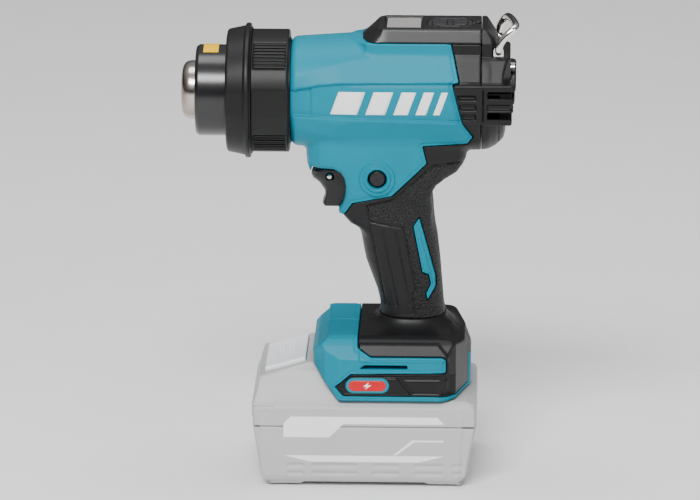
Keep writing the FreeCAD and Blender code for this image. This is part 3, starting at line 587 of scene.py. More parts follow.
RIDGE = [(60, 205), (60, CONSOLE_TOP_Z), (66.9, CONSOLE_TOP_Z), (71.1, 219), (73.1, 214),
         (73.1, 205)]
GUARD_SHAPE = ([-60, -59.3, -58.4, -50.8, -50.3], [28.9, 29.2, 29.9, 31.5, 31.5])
GUARD_HOLLOW = ([-56.7, -56.5, -50.5, -49.6], [22.7, 26.9, 27.6, 26.0])
TRIGGER_BACK = [(2, 134.4), (3, 136), (3, 151), (0, 152.8), (-12, 153.4), (-16.2, 152.4)]
TRIGGER_MIDDLE = TRIGGER_BACK + [(-18.0, 151.2), (-18.5, 149.6), (-17.6, 147.4), (-14.5, 145.1),
                                 (-12.2, 142.0), (-11.4, 139.8), (-12.5, 136.6),
                                 (-13.0, 135.2), (-12.4, 134.4)]
TRIGGER_EDGE = TRIGGER_BACK + [(-17.2, 151.9), (-15, 151.2), (-12.0, 149.4), (-10.6, 146.6),
                               (-10.3, 142.4), (-11, 139.8), (-12, 135.7), (-11.6, 134.4)]
HOOK_PATH = [(72.6, -14.4, 214.4), (72.6, -18, 214.4), (72.7, -18, 217.2), (74.2, -18, 220.4),
             (77.4, -17.8, 223.8), (80.6, -16.6, 226.3), (81.0, -12, 226.6), (79.6, 0, 226.3),
             (77.6, 12, 225.4), (76.4, 16.6, 224.3), (74.4, 18, 221.6), (72.8, 18, 218.2),
             (72.6, 18, 214.4), (72.6, 14.4, 214.4)]
STRIPES = [(-6.5, 6.5), (10.5, 20), (24, 31), (34.7, 39.7), (43.2, 46.4)]
STRIPE_UP = (-5.4, 5.8)
STRIPE_SLANT = 0.36
CASE_LOW = [(-46.3, 31), (-43, 9), (-40.7, 4), (-37.5, 0), (-22, 0), (-21, 1.2), (38, 1.2),
            (39, 0), (53.9, 0), (58.6, 5), (60.5, 17), (63.3, 31)]
CASE_LOW_SECTION = [(60, 0), (60, 38.5), (6, 38.5), (0, 36), (0, 0)]
CASE_SLOTS = [(-29, -21), (-17, 5), (12.5, 25.5), (33, 47), (51.5, 56)]
CASE_HIGH = [(-46.3, 28), (-46.3, 41), (-30, 43.6), (58, 43.6), (63, 41), (63.3, 28)]
CASE_HIGH_SECTION = [(20, 0), (20, 38.5), (40.5, 38.5), (43.6, 34), (43.6, 0)]
NOSE = [(-46.3, 35), (-46.1, 41), (-42.7, 53.6), (-19, 60.2), (-16.6, 59.9), (-4.7, 43.9),
        (-4.7, 35)]
NOSE_SECTION = [(20, 0), (20, 37.1), (41, 37.1), (56, 27), (64, 25), (64, 0)]
BUTTON_WELL = [(-40.7, 48), (-40.7, 58), (-20.5, 64), (-20.5, 53.6)]
CASE_PANEL = [(-42.5, 3), (-42.5, 33.5), (-34.6, 41.4), (51, 41.4), (56.5, 35.5), (55, 3)]
LABEL_SHAPES = [[(-30.9, 25.7), (-30.9, 32.6), (-27.4, 36.2), (44.1, 36.2), (47.6, 32.6),
                 (-1.6, 32.6), (-8.6, 25.7)],
                [(-30.5, 16.4), (47.6, 16.4), (35, 13.2), (-18, 13.2)],
                [(22.7, 16.9), (24.4, 16.9), (33, 23.6), (47.2, 23.6), (47.2, 24.5), (32, 24.5)]]
BOLT_SIGN = [(10.7, 53.9), (7.9, 51.6), (9.7, 51.6), (8.9, 50.1), (12.1, 52.5), (10.2, 52.5)]
LCD_FRAME = [(17.4, 0), (17.4, 11.3), (35.9, 11.3), (35.9, 0)]
PAD_LINE = [(57, 13.2), (61.5, 9.4), (62, 0)]


def barrel_field(x, side, z):
    """The round head: tapered, with a flat band above and below the recessed side."""
    up = z - BARREL_Z
    radius = along(x, HEAD_RADIUS)
    tilt = np.interp(x, [-26, -4], [20.7, HEAD_FLAT_TILT])
    tilt = np.radians(tilt).astype(np.float32)
    reach = along(x, HEAD_FLAT)
    skin = far(side, up) - radius
    flat = side * np.cos(tilt) + np.abs(up) * np.sin(tilt) - reach
    skin = smax(skin, flat, 0.2)
    recess = 1.7 * ramp(outline(LOGO_BAND, x, up), 1.1)
    recess = recess + 0.6 * ramp(outline(LOGO_FRONT, x, up), 0.8)
    recess = recess * ramp(10 - side, 6)
    front = (HEAD_FRONT_X - x + far(side, up) - 24.6) * 0.72
    skin = smax(skin + recess, front, 0.8)
    return smax(skin, HEAD_FRONT_X - x, 0.6)


def console_base_field(x, side, z):
    """The raised base of the console on top of the head."""
    plan = mirrored(CONSOLE_BASE, x, side)
    return smax(smax(plan, z - CONSOLE_EDGE_Z, 0.5), 200 - z, 0.5)


def neck_field(x, side, z):
    """The neck round the trigger's top, which narrows downwards."""
    profile = outline(NECK_OUTLINE, x, z)
    plan = mirrored(NECK_PLAN, x, side) + np.clip((143 - z) * 0.3, 0, 8)
    return smax(profile, plan, 4.0)


def grip_field(x, side, z):
    """The grip: rounded-rectangle sections between a front and a back line."""
    front = np.interp(z, *GRIP_FRONT)
    back = np.interp(z, *GRIP_BACK)
    wide = np.interp(z, *GRIP_SIDE)
    deep = (back - front) / 2
    u = np.abs(x - (front + back) / 2) / deep
    v = np.abs(side) / wide
    section = (u ** GRIP_POWER + v ** GRIP_POWER) ** (1 / GRIP_POWER)
    body = (section - 1) * np.minimum(deep, wide)
    return smax(smax(body, z - 150, 1), 60 - z, 1).astype(np.float32)


def foot_field(x, side, z):
    """The foot that the battery slides into."""
    profile = outline(FOOT_OUTLINE, x, z)
    plan = mirrored(FOOT_PLAN, x, side)
    section = outline([(-a, b) for a, b in FOOT_SECTION[::-1]] + FOOT_SECTION[1:-1], side, z)
    return smax(smax(profile, plan, 1.0), section, 0.7)


def slot_field(x, side, z):
    """The opening that the trigger works in."""
    return overlap(side - 9.1, band(z, 144.3, 10.7), x - 10)


def lock_rim_field(x, side, z):
    """The raised ring round the lock button, the distance from its middle, and a channel."""
    around = far(x - LOCK_X, z - LOCK_Z)
    boss = smax(around - 8.5, side - 20.4, 0.7)
    ring = far(around - 5.85, side - 19.9) - 1.15
    channel = far(around - 7.25, side - 20.75) - 0.75
    return smax(smin(boss, ring, 0.2), -channel, 0.2), around, channel


def body_field(x, side, z):
    """The whole moulded body's outer surface."""
    upper = smin(barrel_field(x, side, z), console_base_field(x, side, z), 2.2)
    upper = np.maximum(upper, x - SEAM_X + JOINT_GAP)
    neck = neck_field(x, side, z)
    body = smin(upper, neck, 2.4)
    body = smin(body, grip_field(x, side, z), 3.0)
    body = smin(body, foot_field(x, side, z), 11.0)
    return body


def cover_zone(x, z):
    """Distance to the area of the side view that the black covers take."""
    grip = cut(outline(TEAL_EDGE, x, z), outline(INLAY_OUTLINE, x, z))
    return np.where(z > GRIP_BOTTOM_Z, grip, outline(FOOT_ZONE, x, z))


def vent_recesses(x, z):
    """Three slant-ended recesses in the vent block on the head's side."""
    rear = LOUVRE_X[1]
    rows = []
    for drop, low, high in LOUVRES:
        front = LOUVRE_X[0] + drop * 0.22
        rows.append(outline([(front, low), (rear, low), (rear, high), (front - 0.8, high)], x, z))
    return union(*rows)


def foot_relief(x, z, black):
    """How far the foot's side surface is sunk, in millimetres."""
    sunk = 0.9 * ramp(outline(FOOT_SLOT, x, z), 0.6)
    panel = 1.3 * ramp(black + 1.0, 1.2)
    panel = panel - 1.3 * ramp(outline(BADGE_PANEL, x, z), 1.6)
    panel = panel - 0.7 * ramp(outline(REAR_PANEL, x, z), 1.3)
    return sunk + np.where(z < 57, panel, 0)


def slope_relief(x, side, z):
    """The raised panel along the black slope of the foot."""
    return -0.7 * ramp(outline(SLOPE_PANEL, x, z), 0.7) * ramp(30 - side, 3)


def screw_wells(x, side, z):
    """The wells that the housing screws sit in, on the right side."""
    around = union(*(far(x - sx, z - sz) for sx, sz in SCREWS))
    head_r, head_side, shank_r = SCREW_WELL
    return union(overlap(around - head_r, head_side - side), around - shank_r)


def battery_way(x, side, z):
    """The room under the foot that the battery's rail slides through."""
    end = overlap(z - RAIL_WAY_TOP, x - RAIL_WAY_END)
    return union(overlap(side - 21, end), overlap(side - 26, end, 46.4 - z))


def teal_field(x, side, z, body, black):
    """The teal housing: the body with the lock's ring, and a rim along the black covers."""
    boss, around, channel = lock_rim_field(x, side, z)
    rim = 0.5 * ramp(np.abs(black - 1.4) - 0.25, 0.7)
    teal = smax(smin(body, boss, 0.6), -channel, 0.3) + rim
    teal = smax(teal, COVER_GAP - black, 0.3)
    foot_slot = overlap(outline(SLOT_OPENING, x, z), 30 - side)
    return cut(teal, around - LOCK_BORE_R, foot_slot)


def dark_field(x, side, z, body, black):
    """The black covers, grooved round the leather-grained part and along the grip."""
    dark = smin(body, vent_block_field(x, side, z), 0.4)
    dark = dark + 0.9 * ramp(polyline(TEXTURE_EDGE, x, z) - 0.3, 0.8)
    ribs = union(*(line(a, b, x, z) for a, b in GRIP_RIBS))
    dark = dark + 0.8 * ramp(ribs - 0.3, 0.8) * ramp(8 - side, 4)
    dark = dark + 0.4 * ramp(band(z, 213.4, 0.1), 0.6) * np.where(x > 46, 1, 0)
    return smax(dark, black + COVER_GAP, 0.3)


def build_body():
    """The housing halves, the grip covers and the foot panels."""
    axes = grid((HEAD_FRONT_X, SEAM_X), (0, FOOT_HALF_WIDTH + 0.6), (FOOT_Z, 219), FINE)
    x, side, z = axes
    black = cover_zone(x, z)
    body = body_field(x, side, z)
    body = body + np.where(z < 66, foot_relief(x, z, black) * ramp(33 - side, 3), 0)
    body = body + np.where((z < 74) & (z > 62), slope_relief(x, side, z), 0)
    black = cut(black, overlap(side - 9.5, 52 - x, z - 61.0))
    way = union(battery_way(x, side, z), slot_field(x, side, z))
    teal, dark = (np.maximum(cut(field(x, side, z, body, black), way), HALF_GAP - side)
                  for field in (teal_field, dark_field))
    start, end, low, high = HOOK_NOTCH
    notch = overlap(start - side, x - end, band(z, (low + high) / 2, (high - low) / 2))
    wells = union(screw_wells(x, side, z), notch)
    field_pair("housing", teal, axes, TEAL, "housing", "{}_housing", wells=wells)
    upper = np.maximum(dark, GRIP_BOTTOM_Z + COVER_END_GAP - z)
    for piece in field_pair("cover", upper, axes, BLACK, "housing", "{}_grip_cover",
                            wells):
        texture_zone(piece)
    lower = np.maximum(dark, z - GRIP_BOTTOM_Z + COVER_END_GAP)
    field_pair("foot_panel", lower, axes, BLACK, "housing", "{}_foot_panel", wells=wells)


def vent_block_field(x, side, z):
    """The raised block on the head's side with its three louvre recesses."""
    out = side - VENT_BLOCK_SIDE
    block = smax(outline(VENT_BLOCK, x, z), out, 1.0)
    return overlap(block, 20 - side, 1.5 * ramp(vent_recesses(x, z), 0.6) + out)


def texture_zone(piece):
    """Give the leather-grained part of a grip cover its own finish."""
    mesh = piece.data
    mesh.materials.append(RUBBER)
    centres = np.zeros(len(mesh.polygons) * 3)
    mesh.polygons.foreach_get("center", centres)
    centres = centres.reshape(-1, 3) / MM
    inside = outline(TEXTURE_ZONE, centres[:, 0], centres[:, 2]) < 0
    mesh.polygons.foreach_set("material_index", inside.astype(int))
    mesh.update()


def console_rise(z):
    """0 where the console's sides begin to lean in, 1 at its top."""
    return np.clip((z - CONSOLE_EDGE_Z) / (CONSOLE_TOP_Z - CONSOLE_EDGE_Z), 0, 1)


def build_console():
    """The console's shell, with its window and pad recesses."""
    axes = grid((4, SEAM_X), (0, 19), (212, CONSOLE_TOP_Z + 0.3), FINE * 0.8)
    x, side, z = axes
    low = mirrored(CONSOLE_LOW, x, side)
    high = mirrored(CONSOLE_HIGH, x, side)
    shape = (low + (high - low) * console_rise(z)) * 0.82
    shape = smax(shape, z - CONSOLE_TOP_Z, 0.9)
    shape = smax(shape, x - SEAM_X + 0.1, 0.3)
    shape = np.maximum(shape, 218.55 - z)
    window = mirrored(LCD_FRAME, x, side)
    shape = smax(shape, -np.maximum(window, 223.6 - z), 0.5)
    pad = far(x - PAD_X, side) - PAD_R
    pad = smax(smax(pad, side - 9.6, 1.5), band(x, PAD_X, PAD_R - 0.9), 1.0)
    shape = smax(shape, -np.maximum(pad, 224.3 - z), 0.5)
    shape = shape + 0.3 * ramp(polyline(PAD_LINE, x, side) - 0.2, 0.5) * ramp(223 - z, 1)
    both_halves("console_shell", shape, axes, SMOOTH_BLACK, "housing", "console_housing")


def rear_field(x, side, z):
    """The rear cover: cap, vent block, ledge and the end of the console."""
    up = z - BARREL_Z
    radius = far(side, up)
    reach = along(x, REAR_CAP)
    tilt = math.radians(HEAD_FLAT_TILT)
    flat = side * math.cos(tilt) + np.abs(up) * math.sin(tilt) - 27.3
    cap = smax(smax(radius - reach, flat, 0.5), x - 76.2, 1.2)
    cap = overlap(cap, union(z - LEDGE_Z, x - 69.5))
    vents = smax(mirrored(VENT_PLAN, x, side), band(z, 190.6, 9.9), 0.9)
    vents = smax(vents, x + 0.12 * (LEDGE_Z - 11 - z) - REAR_X, 0.8)
    ledge = smax(mirrored(LEDGE_PLAN, x, side), smax(flat, radius - 28.2, 0.3), 0.8)
    ledge = smax(ledge, z - LEDGE_Z, 0.6)
    ledge = np.maximum(ledge, 199 - z)
    wall = smax(smax(side - CONSOLE_SIDE, z - 218.6, 0.4), x - 69.6, 0.4)
    upper = smax(side - CONSOLE_SIDE + 2.85 * console_rise(z), z - CONSOLE_TOP_Z, 0.8)
    upper = smax(upper, outline(SHOULDER, x, z), 0.6)
    ridge = smax(outline(RIDGE, x, z), side - 14.0, 0.8)
    end = overlap(union(wall, upper, ridge), 205 - z)
    cover = smin(smin(cap, ledge, 0.6), end, 0.5)
    cover = smin(cover, vents, 0.7)
    return np.maximum(cover, SEAM_X + JOINT_GAP - x)


def build_rear_cover():
    """The rear cover's shell, slotted, hollowed and bored for its screw."""
    axes = grid((SEAM_X, REAR_X + 0.5), (0, 29.8), (161, CONSOLE_TOP_Z + 0.3), FINE * 0.9)
    x, side, z = axes
    shape = rear_field(x, side, z)
    inner = overlap(far(side, z - BARREL_Z) - 24, x - 73)
    pocket = overlap(side - 26.6, band(z, 190.5, 7.6), x - 79.2)
    for low, high in VENT_SLOTS:
        slot = smax(band(z, (low + high) / 2, (high - low) / 2), VENT_FRONT_X - x, 0.5)
        shape = smax(shape, -overlap(slot, 7 - side), 0.35)
    groove = overlap(band(z, 189.7, 1.3), VENT_FRONT_X - x)
    shape = shape + 1.1 * ramp(groove, 0.8) * ramp(12 - side, 4)
    screw = far(side, z - REAR_SCREW_Z)
    shape = cut(shape, inner, pocket, overlap(screw - 3.1, 78.4 - x), screw - 1.7)
    both_halves("rear_shell", shape, axes, BLACK, "housing", "rear_cover")


def ring_field(x, side, z):
    """Radius from the barrel's axis and height angle in degrees, 0 at the side."""
    up = z - BARREL_Z
    return far(side, up), np.degrees(np.arctan2(up, side))


def build_guard():
    """The front guard: a shaped cone with a flange, hollow inside."""
    axes = grid((-59.6, COLLAR_REAR_X), (0, 33.2), (BARREL_Z - 33.2, BARREL_Z + 33.2),
                FINE * 0.8)
    x, side, z = axes
    radius, _ = ring_field(x, side, z)
    reach = along(x, GUARD_SHAPE)
    cone = smax(radius - reach, -59.25 - x, 1.0)
    cone = smax(cone, side - GUARD_FLAT_SIDE - np.clip((x + 59.3) * 0.2, 0, 1.8), 0.25)
    cone = np.maximum(cone, x + 50.3)
    flange = smax(radius - 32.9, band(x, -48.9, 1.3), 0.9)
    guard = union(smin(cone, flange, 0.3), smax(radius - 30.8, band(x, -47.6, 0.8), 0.3))
    hollow = radius - along(x, GUARD_HOLLOW)
    both_halves("guard_front", cut(guard, hollow), axes, BLACK, "guard", "front_guard")
    build_collar(axes)


def build_collar(axes):
    """The collar behind the guard, ribbed for the fingers above and below each flat."""
    x, side, z = axes
    radius, angle = ring_field(x, side, z)
    collar = smax(radius - 29.95, x - COLLAR_REAR_X, 1.0)
    collar = smax(collar, side - GUARD_FLAT_SIDE, 0.25)
    ribbed = band(np.abs(angle), KNURL_ANGLE, KNURL_REACH)
    zone = overlap(ribbed * 0.5, band(x, COLLAR_MIDDLE_X, 7.8))
    spread = (np.abs(angle) - 35.4 + KNURL_PITCH / 2) % KNURL_PITCH - KNURL_PITCH / 2
    rib = far(spread * KNURL_R, radius - 29.4) - KNURL_R
    rib = overlap(rib, band(x, COLLAR_MIDDLE_X, 7.6), ribbed)
    collar = smin(collar + 1.0 * ramp(zone, 0.6), rib, 0.2)
    collar = overlap(collar, -46.75 - x, 26.0 - radius)
    both_halves("collar", collar, axes, BLACK, "guard", "guard_collar")


def build_barrel_tubes():
    """The nozzle and its sleeve, turned about the barrel's axis."""
    nozzle = [(-60, 14.4), (-77.0, 14.4), (-78.8, 13.9), (-80.2, 12.8), (-81.0, 11.2),
              (-81.3, 9.7), (-81.0, 9.2), (-80.0, 9.6), (-79.0, 11.6), (-77.6, 13.2),
              (-75.4, 13.6), (-60, 13.6)]
    axis = (0, BARREL_Z)
    turned_piece("nozzle_mouth", rounded_profile(nozzle, 0.9), NOZZLE, "housing",
                 "nozzle_tube", centre=axis)
    sleeve = [(-44, 22.2), (-72.6, 22.2), (-73.0, 22.0), (-74.3, 21.2), (-74.3, 14.9),
              (-73.1, 14.9), (-73.1, 20.6), (-44, 20.6)]
    turned_piece("sleeve", rounded_profile(sleeve, 0.7), ENAMEL, "housing",
                 "nozzle_sleeve", centre=axis)


def build_trigger():
    """The trigger, whose front edge is worn back towards its sides."""
    axes = grid((-19, 4), (0, 8.6), (134, 154), FINE * 0.7)
    x, side, z = axes
    middle = outline(TRIGGER_MIDDLE, x, z)
    edge = outline(TRIGGER_EDGE, x, z)
    spread = np.clip(side / 8.5, 0, 1) ** 3
    shape = smax(middle + (edge - middle) * spread, side - 8.5, 0.9)
    pin = far(x - PIN_X, z - PIN_Z) - 2.0
    shape = smax(shape, -pin, 0.3)
    both_halves("trigger_lever", shape, axes, SMOOTH_BLACK, "trigger", "trigger")


def build_trigger_pin():
    """The trigger's pin, with domed ends."""
    end = node_box("trigger_pin")[1][1]
    half = [(0, 1.65), (end - 1.0, 1.65), (end - 0.4, 1.35), (end, 0.75), (end + 0.15, 0)]
    profile = [(-along, radius) for along, radius in half[:0:-1]] + half[1:]
    turned_piece("pin", profile, STEEL, "housing", "trigger_pin",
                 axis="y", centre=(PIN_X, PIN_Z), sections=48)


def build_lock():
    """The cross-bolt: a waisted rod whose two heads are the lock's buttons."""
    left, right = node_box("lock_button")[0][1], node_box("lock_button")[1][1]
    profile = [(left, 0), (left, 3.4), (left + 0.5, 4.0), (left + 1.2, 4.2), (left + 6, 4.2),
               (left + 6.4, 3), (right - 6.8, 3), (right - 6.4, 4.2), (right - 1.2, 4.2),
               (right - 0.5, 4.0), (right, 3.4), (right, 0)]
    turned_piece("lock_bolt", rounded_profile(profile, 0.5), SMOOTH_BLACK, "lock",
                 "lock_button", axis="y", centre=(LOCK_X, LOCK_Z))


def build_hook():
    """The bail: a smooth bent wire whose ends turn inwards into the eyelets."""
    tube_piece("hook_wire", smooth_path(HOOK_PATH), (1.5, 1.85), STEEL, "hook", "hook")
    x, z = HOOK_PATH[0][0], HOOK_PATH[0][2]
    for side, sign in SIDES:
        ring = [(sign * 16.1, 1.62), (sign * 16.1, 2.3), (sign * 14.3, 2.3), (sign * 14.3, 1.62)]
        turned_piece("hook_bush_" + side, rounded_profile(ring, 0.25), STEEL, "housing",
                     axis="y", centre=(x, z), sections=48)


def build_window():
    """The display's lens, in its recess in the console's top."""
    (x0, y0, z0), (x1, y1, z1) = node_box("lcd_lens")
    axes = grid((x0, x1), (0, y1), (z0, z1 + 0.4), SMALL_STEP)
    x, side, z = axes
    plan = mirrored([(x0, 0), (x0, y1 - 1), (x0 + 1, y1), (x1 - 1, y1), (x1, y1 - 1), (x1, 0)],
                    x, side)
    lens = smax(plan + 0.2, z - z1 - 0.35, 0.3)
    lens = np.maximum(lens, z0 - z)
    both_halves("lcd_glass", lens, axes, LCD, "housing", "lcd_lens")


def bar_key(across, side, sign):
    """Plan of the bar-shaped key before or behind the pad's middle."""
    return smax(band(across, sign * KEY_X, 3.5), side - 4.9, 1.2)


def arc_key(disc, across, side):
    """Plan of the key beside the pad's middle, cut from a disc."""
    return smax(smax(disc, 6.5 - side, 0.6), band(across, 0, 5.4), 0.6)


def build_keys():
    """The control pad and its four rubber keys."""
    top = CONSOLE_TOP_Z
    span = (PAD_X - PAD_R, PAD_X + PAD_R), (0, PAD_R)
    axes = grid(*span, (223.2, top + 0.5), SMALL_STEP)
    x, side, z = axes
    across = x - PAD_X
    around = far(across, side) - PAD_R
    disc = smax(smax(around + 0.35, side - 9.3, 1.5), np.abs(across) - PAD_R + 1.2, 1.0)
    pad = smax(disc, z - top + 0.35, 0.4)
    pad = np.maximum(pad, 223.4 - z)
    keys = [bar_key(across, side, sign) for sign in (-1, 1)]
    keys.append(arc_key(disc + 0.7, across, side))
    both_halves("pad_plate", cut(pad, *(key - 0.3 for key in keys)), axes, KEY, "housing",
                "control_pad")
    floor = 222.4
    axes = grid(*span, (floor, top + 0.6), SMALL_STEP)
    x, side, z = axes
    for name, sign in (("front", -1), ("rear", 1)):
        dish = 0.25 * np.exp(-((across - sign * KEY_X) ** 2 + side ** 2) / 14)
        key = smax(bar_key(across, side, sign), z - top - 0.3 + dish, 0.4)
        both_halves("button_" + name, np.maximum(key, floor - z), axes, KEY, "key_" + name,
                    "key_" + name)
    key = arc_key(smax(around + 1.05, side - 9.0, 1.2), across, side)
    key = np.maximum(smax(key, z - top - 0.3, 0.4), floor - z)
    field_pair("button", key, axes, KEY, "key_{}", "key_{}")


def side_plate(name, outlines, side, rise, material, node=None):
    """Flat shapes with bevelled rims, raised off the foot's or battery's side wall.

    side is -1 for the left and 1 for the right; rise is (wall, thickness).
    """
    wall, thickness = rise
    verts, faces = [], []
    for points in outlines:
        base, count = len(verts), len(points)
        rings = ((points, -0.3), (points, thickness * 0.6),
                 (shrink_points(points, 0.25), thickness))
        for ring, out in rings:
            verts += [(px, side * (wall + out), pz) for px, pz in ring]
        for level in range(2):
            for i in range(count):
                a = base + level * count + i
                b = base + level * count + (i + 1) % count
                faces.append((a, b, b + count, a + count))
        faces.append(tuple(base + 2 * count + i for i in range(count)))
        faces.append(tuple(base + i for i in reversed(range(count))))
    body = "battery" if name.startswith("battery") else "housing"
    return tidy(new_piece(name, verts, faces, material, body, node, smooth=False))


def shrink_points(points, inset):
    """Move a closed outline's corners inwards along their bisectors."""
    area = sum(a[0] * b[1] - b[0] * a[1] for a, b in zip(points, points[1:] + points[:1]))
    turn = 1 if area > 0 else -1
    moved = []
    for i, (x, z) in enumerate(points):
        (ax, az), (bx, bz) = points[i - 1], points[(i + 1) % len(points)]
        la, lb = math.hypot(x - ax, z - az), math.hypot(bx - x, bz - z)
        nx = -((z - az) / la + (bz - z) / lb) * turn
        nz = ((x - ax) / la + (bx - x) / lb) * turn
        size = math.hypot(nx, nz) or 1
        moved.append((x + nx / size * inset, z + nz / size * inset))
    return moved


def pill(x0, x1, low, high, steps=12):
    """A rounded bar's outline."""
    r = (high - low) / 2
    ends = []
    for centre, start in ((x1 - r, -90), (x0 + r, 90)):
        for k in range(steps + 1):
            a = math.radians(start + 180 * k / steps)
            ends.append((centre + r * math.cos(a), low + r + r * math.sin(a)))
    return ends


def head_surface(x, up):
    """How far out the head's side stands at each point, found by halving."""
    low, high = np.full_like(x, 15.0), np.full_like(x, 31.0)
    for _ in range(24):
        middle = (low + high) / 2
        inside = barrel_field(x, middle, up + BARREL_Z) < 0
        low, high = np.where(inside, middle, low), np.where(inside, high, middle)
    return low


def stripe(x0, x1, side, rows=28, columns=6, thick=0.14):
    """One slanted bar laid on the head's side, as a thin closed sheet."""
    t, s = np.meshgrid(np.linspace(0, 1, rows), np.linspace(0, 1, columns), indexing="ij")
    up = STRIPE_UP[0] + (STRIPE_UP[1] - STRIPE_UP[0]) * t
    x = x0 + (x1 - x0) * s + STRIPE_SLANT * up
    y = head_surface(x, up)
    sheets = [np.stack([x, side * (y + out), up + BARREL_Z], -1).reshape(-1, 3)
              for out in (thick, -0.2)]
    cell = np.arange((rows - 1) * columns).reshape(rows - 1, columns)[:, :-1].ravel()
    quads = np.stack([cell, cell + 1, cell + columns + 1, cell + columns], 1)
    border = list(range(columns - 1))
    border += [r * columns + columns - 1 for r in range(rows - 1)]
    border += [(rows - 1) * columns + c for c in range(columns - 1, 0, -1)]
    border += [r * columns for r in range(rows - 1, 0, -1)]
    n = rows * columns
    edge = [(a, b, b + n, a + n) for a, b in zip(border, border[1:] + border[:1])]
    return np.concatenate(sheets), quads.tolist() + (quads[:, ::-1] + n).tolist() + edge


def build_marks():
    """A slanted-stripe mark on each side of the head, and the pill badges on the foot."""
    wall = FOOT_HALF_WIDTH
    for name, side in SIDES:
        verts, faces = [], []
        for x0, x1 in STRIPES:
            more, quads = stripe(x0, x1, side)
            faces += [tuple(i + len(verts) for i in quad) for quad in quads]
            verts += more.tolist()
        tidy(new_piece("stripes_" + name, verts, faces, WHITE, "housing"))
        side_plate("badge_rim_" + name, [pill(-0.6, 20.6, 48.2, 55.8)], side,
                   (wall - 0.35, 0.5), TEAL, "side_badges" if side < 0 else None)
        side_plate("badge_" + name, [pill(0.9, 19.1, 49.4, 54.6)], side, (wall, 0.4), RED)
        side_plate("badge_bolt_" + name, [BOLT_SIGN], side, (wall + 0.3, 0.15), WHITE)


def case_margin(x, side, z):
    """How far the battery's side is sunk outside its flat panel."""
    return 0.7 * (1 - ramp(outline(CASE_PANEL, x, z), 1.2)) * ramp(33 - side, 3)


def battery_low_field(x, side, z):
    """The lower case, with two rows of short slots along its side."""
    shape = smax(outline(CASE_LOW, x, z), mirrored(CASE_LOW_SECTION, z, side), 1.4)
    rows = union(*(band(z, level, 0.8) for level in (7.2, 11.2)))
    spans = union(*(band(x, (a + b) / 2, (b - a) / 2) for a, b in CASE_SLOTS))
    shape = shape + 0.9 * ramp(overlap(rows, spans), 0.8) * ramp(34 - side, 3)
    shape = shape + case_margin(x, side, z)
    return np.maximum(shape, z - CASE_SPLIT_Z + JOINT_GAP)


def battery_high_field(x, side, z):
    """The upper case: body, sloped nose, and the rail that slides into the foot."""
    main = smax(outline(CASE_HIGH, x, z), mirrored(CASE_HIGH_SECTION, z, side), 1.2)
    nose = smax(outline(NOSE, x, z), mirrored(NOSE_SECTION, z, side), 1.2)
    shape = smin(main, nose, 1.5) + np.where(z < 41, case_margin(x, side, z), 0)
    length = band(x, 8, 20)
    rail = overlap(side - 20.4, z - 52, length)
    wing = overlap(side - 25.4, band(z, 49.5, 2.5), length)
    well = overlap(outline(BUTTON_WELL, x, z), side - 21.5)
    shape = smax(union(shape, rail, wing), -well, 0.5)
    blade = overlap(band(side, 8, 1.2), 11 - x, 46.5 - z)
    return np.maximum(cut(shape, blade), CASE_SPLIT_Z + JOINT_GAP - z)


def build_battery():
    """The pack's two mouldings, its label panels and its release button."""
    for name, field, heights in (("lower", battery_low_field, (0, CASE_SPLIT_Z)),
                                 ("upper", battery_high_field, (CASE_SPLIT_Z, 60.4))):
        axes = grid(CASE_X, (0, CASE_SIDE), heights, FINE * 1.1)
        both_halves("battery_" + name, field(*axes), axes, GREY, "battery",
                    "battery_" + name + "_case")
    for name, side in SIDES:
        side_plate("battery_label_" + name, LABEL_SHAPES, side, (CASE_SIDE - 0.05, 0.15), PALE)
    build_release()


def build_release():
    """The release button in the nose, with finger ribs across it."""
    axes = grid((-41, -20), (0, 21), (51, 61.6), 0.27)
    x, side, z = axes
    slope = (z - 55.4 - (x + 40.6) * 0.28) * 0.963
    ribs = overlap(band((x + 31.5) % 1.6, 0.8, 0.25), band(x, -31.0, 4.2))
    button = smax(slope - 0.4 + 0.6 * ramp(ribs, 0.5) * ramp(side - 13, 0.8), side - 20.9, 1.0)
    button = smax(button, band(x, -30.6, 9.95), 0.8)
    button = np.maximum(button, -slope - 3.4)
    both_halves("release_pad", button, axes, PALE_BLUE, "release", "release_button")


for build in (dress_cad_nodes, build_body, build_console, build_rear_cover, build_guard,
              build_barrel_tubes, build_trigger, build_trigger_pin, build_lock, build_hook,
              build_window, build_keys, build_marks, build_battery):
    build()

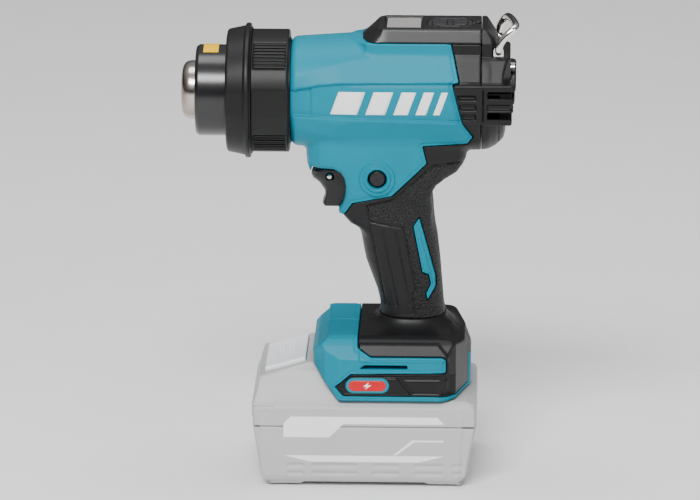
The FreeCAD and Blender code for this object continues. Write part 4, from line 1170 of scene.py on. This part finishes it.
# ---- camera, floor and light ----
VIEW_CENTRE = Vector((0.0004, 0.0, 0.110))
VIEW_DISTANCE = 2.7
VIEW_AZIMUTH = math.radians(1.8)
VIEW_ELEVATION = math.radians(15.6)
LENS = 283.0
NEAR_CLIP = 0.05
FLOOR_REACH = 6.0
WORLD_STRENGTH = 0.5


def aim_object(name, data, place):
    """Put a camera or light at a place, looking at the middle of the view."""
    made = add_object(name, data)
    made.location = place
    made.rotation_euler = (VIEW_CENTRE - Vector(place)).to_track_quat("-Z", "Y").to_euler()
    return made


def add_camera():
    flat = VIEW_DISTANCE * math.cos(VIEW_ELEVATION)
    place = VIEW_CENTRE + Vector((flat * math.sin(VIEW_AZIMUTH), -flat * math.cos(VIEW_AZIMUTH),
                                  VIEW_DISTANCE * math.sin(VIEW_ELEVATION)))
    data = bpy.data.cameras.new("camera")
    data.lens = LENS
    data.clip_start = NEAR_CLIP
    bpy.context.scene.camera = aim_object("camera", data, place)


def add_light(name, place, size, power):
    data = bpy.data.lights.new(name, "AREA")
    data.shape = "RECTANGLE"
    data.size, data.size_y = size
    data.energy = power
    aim_object(name, data, place)


def add_floor():
    mesh = bpy.data.meshes.new("floor")
    r = FLOOR_REACH
    mesh.from_pydata([(-r, -r, 0), (r, -r, 0), (r, r, 0), (-r, r, 0)], [], [(0, 1, 2, 3)])
    floor = add_object("floor", mesh)
    mesh.materials.append(moulded("pale_floor", None, (0.9, 0.9, 0.9), 0.6, grain=300, bump=0.01,
                                  variation=0.01))


def add_world():
    """Soft light that is dark near the floor and bright overhead."""
    world = bpy.data.worlds.new("studio")
    bpy.context.scene.world = world
    world.use_nodes = True
    tree = world.node_tree
    back = tree.nodes["Background"]
    where = add_node(tree, "ShaderNodeTexCoord")
    split = add_node(tree, "ShaderNodeSeparateXYZ")
    tree.links.new(where.outputs["Generated"], split.inputs["Vector"])
    link_tones(tree, split.outputs["Z"], [(0.12, (0.1, 0.1, 0.1)), (0.8, (1, 1, 1))],
               back.inputs["Color"])
    back.inputs["Strength"].default_value = WORLD_STRENGTH


add_camera()
add_floor()
add_world()
add_light("key", (-0.35, -1.45, 1.6), (1.1, 0.5), 54)
add_light("fill", (1.3, -1.4, 0.6), (0.9, 0.9), 9)
add_light("top", (0.0, 0.2, 1.8), (1.4, 0.7), 16)
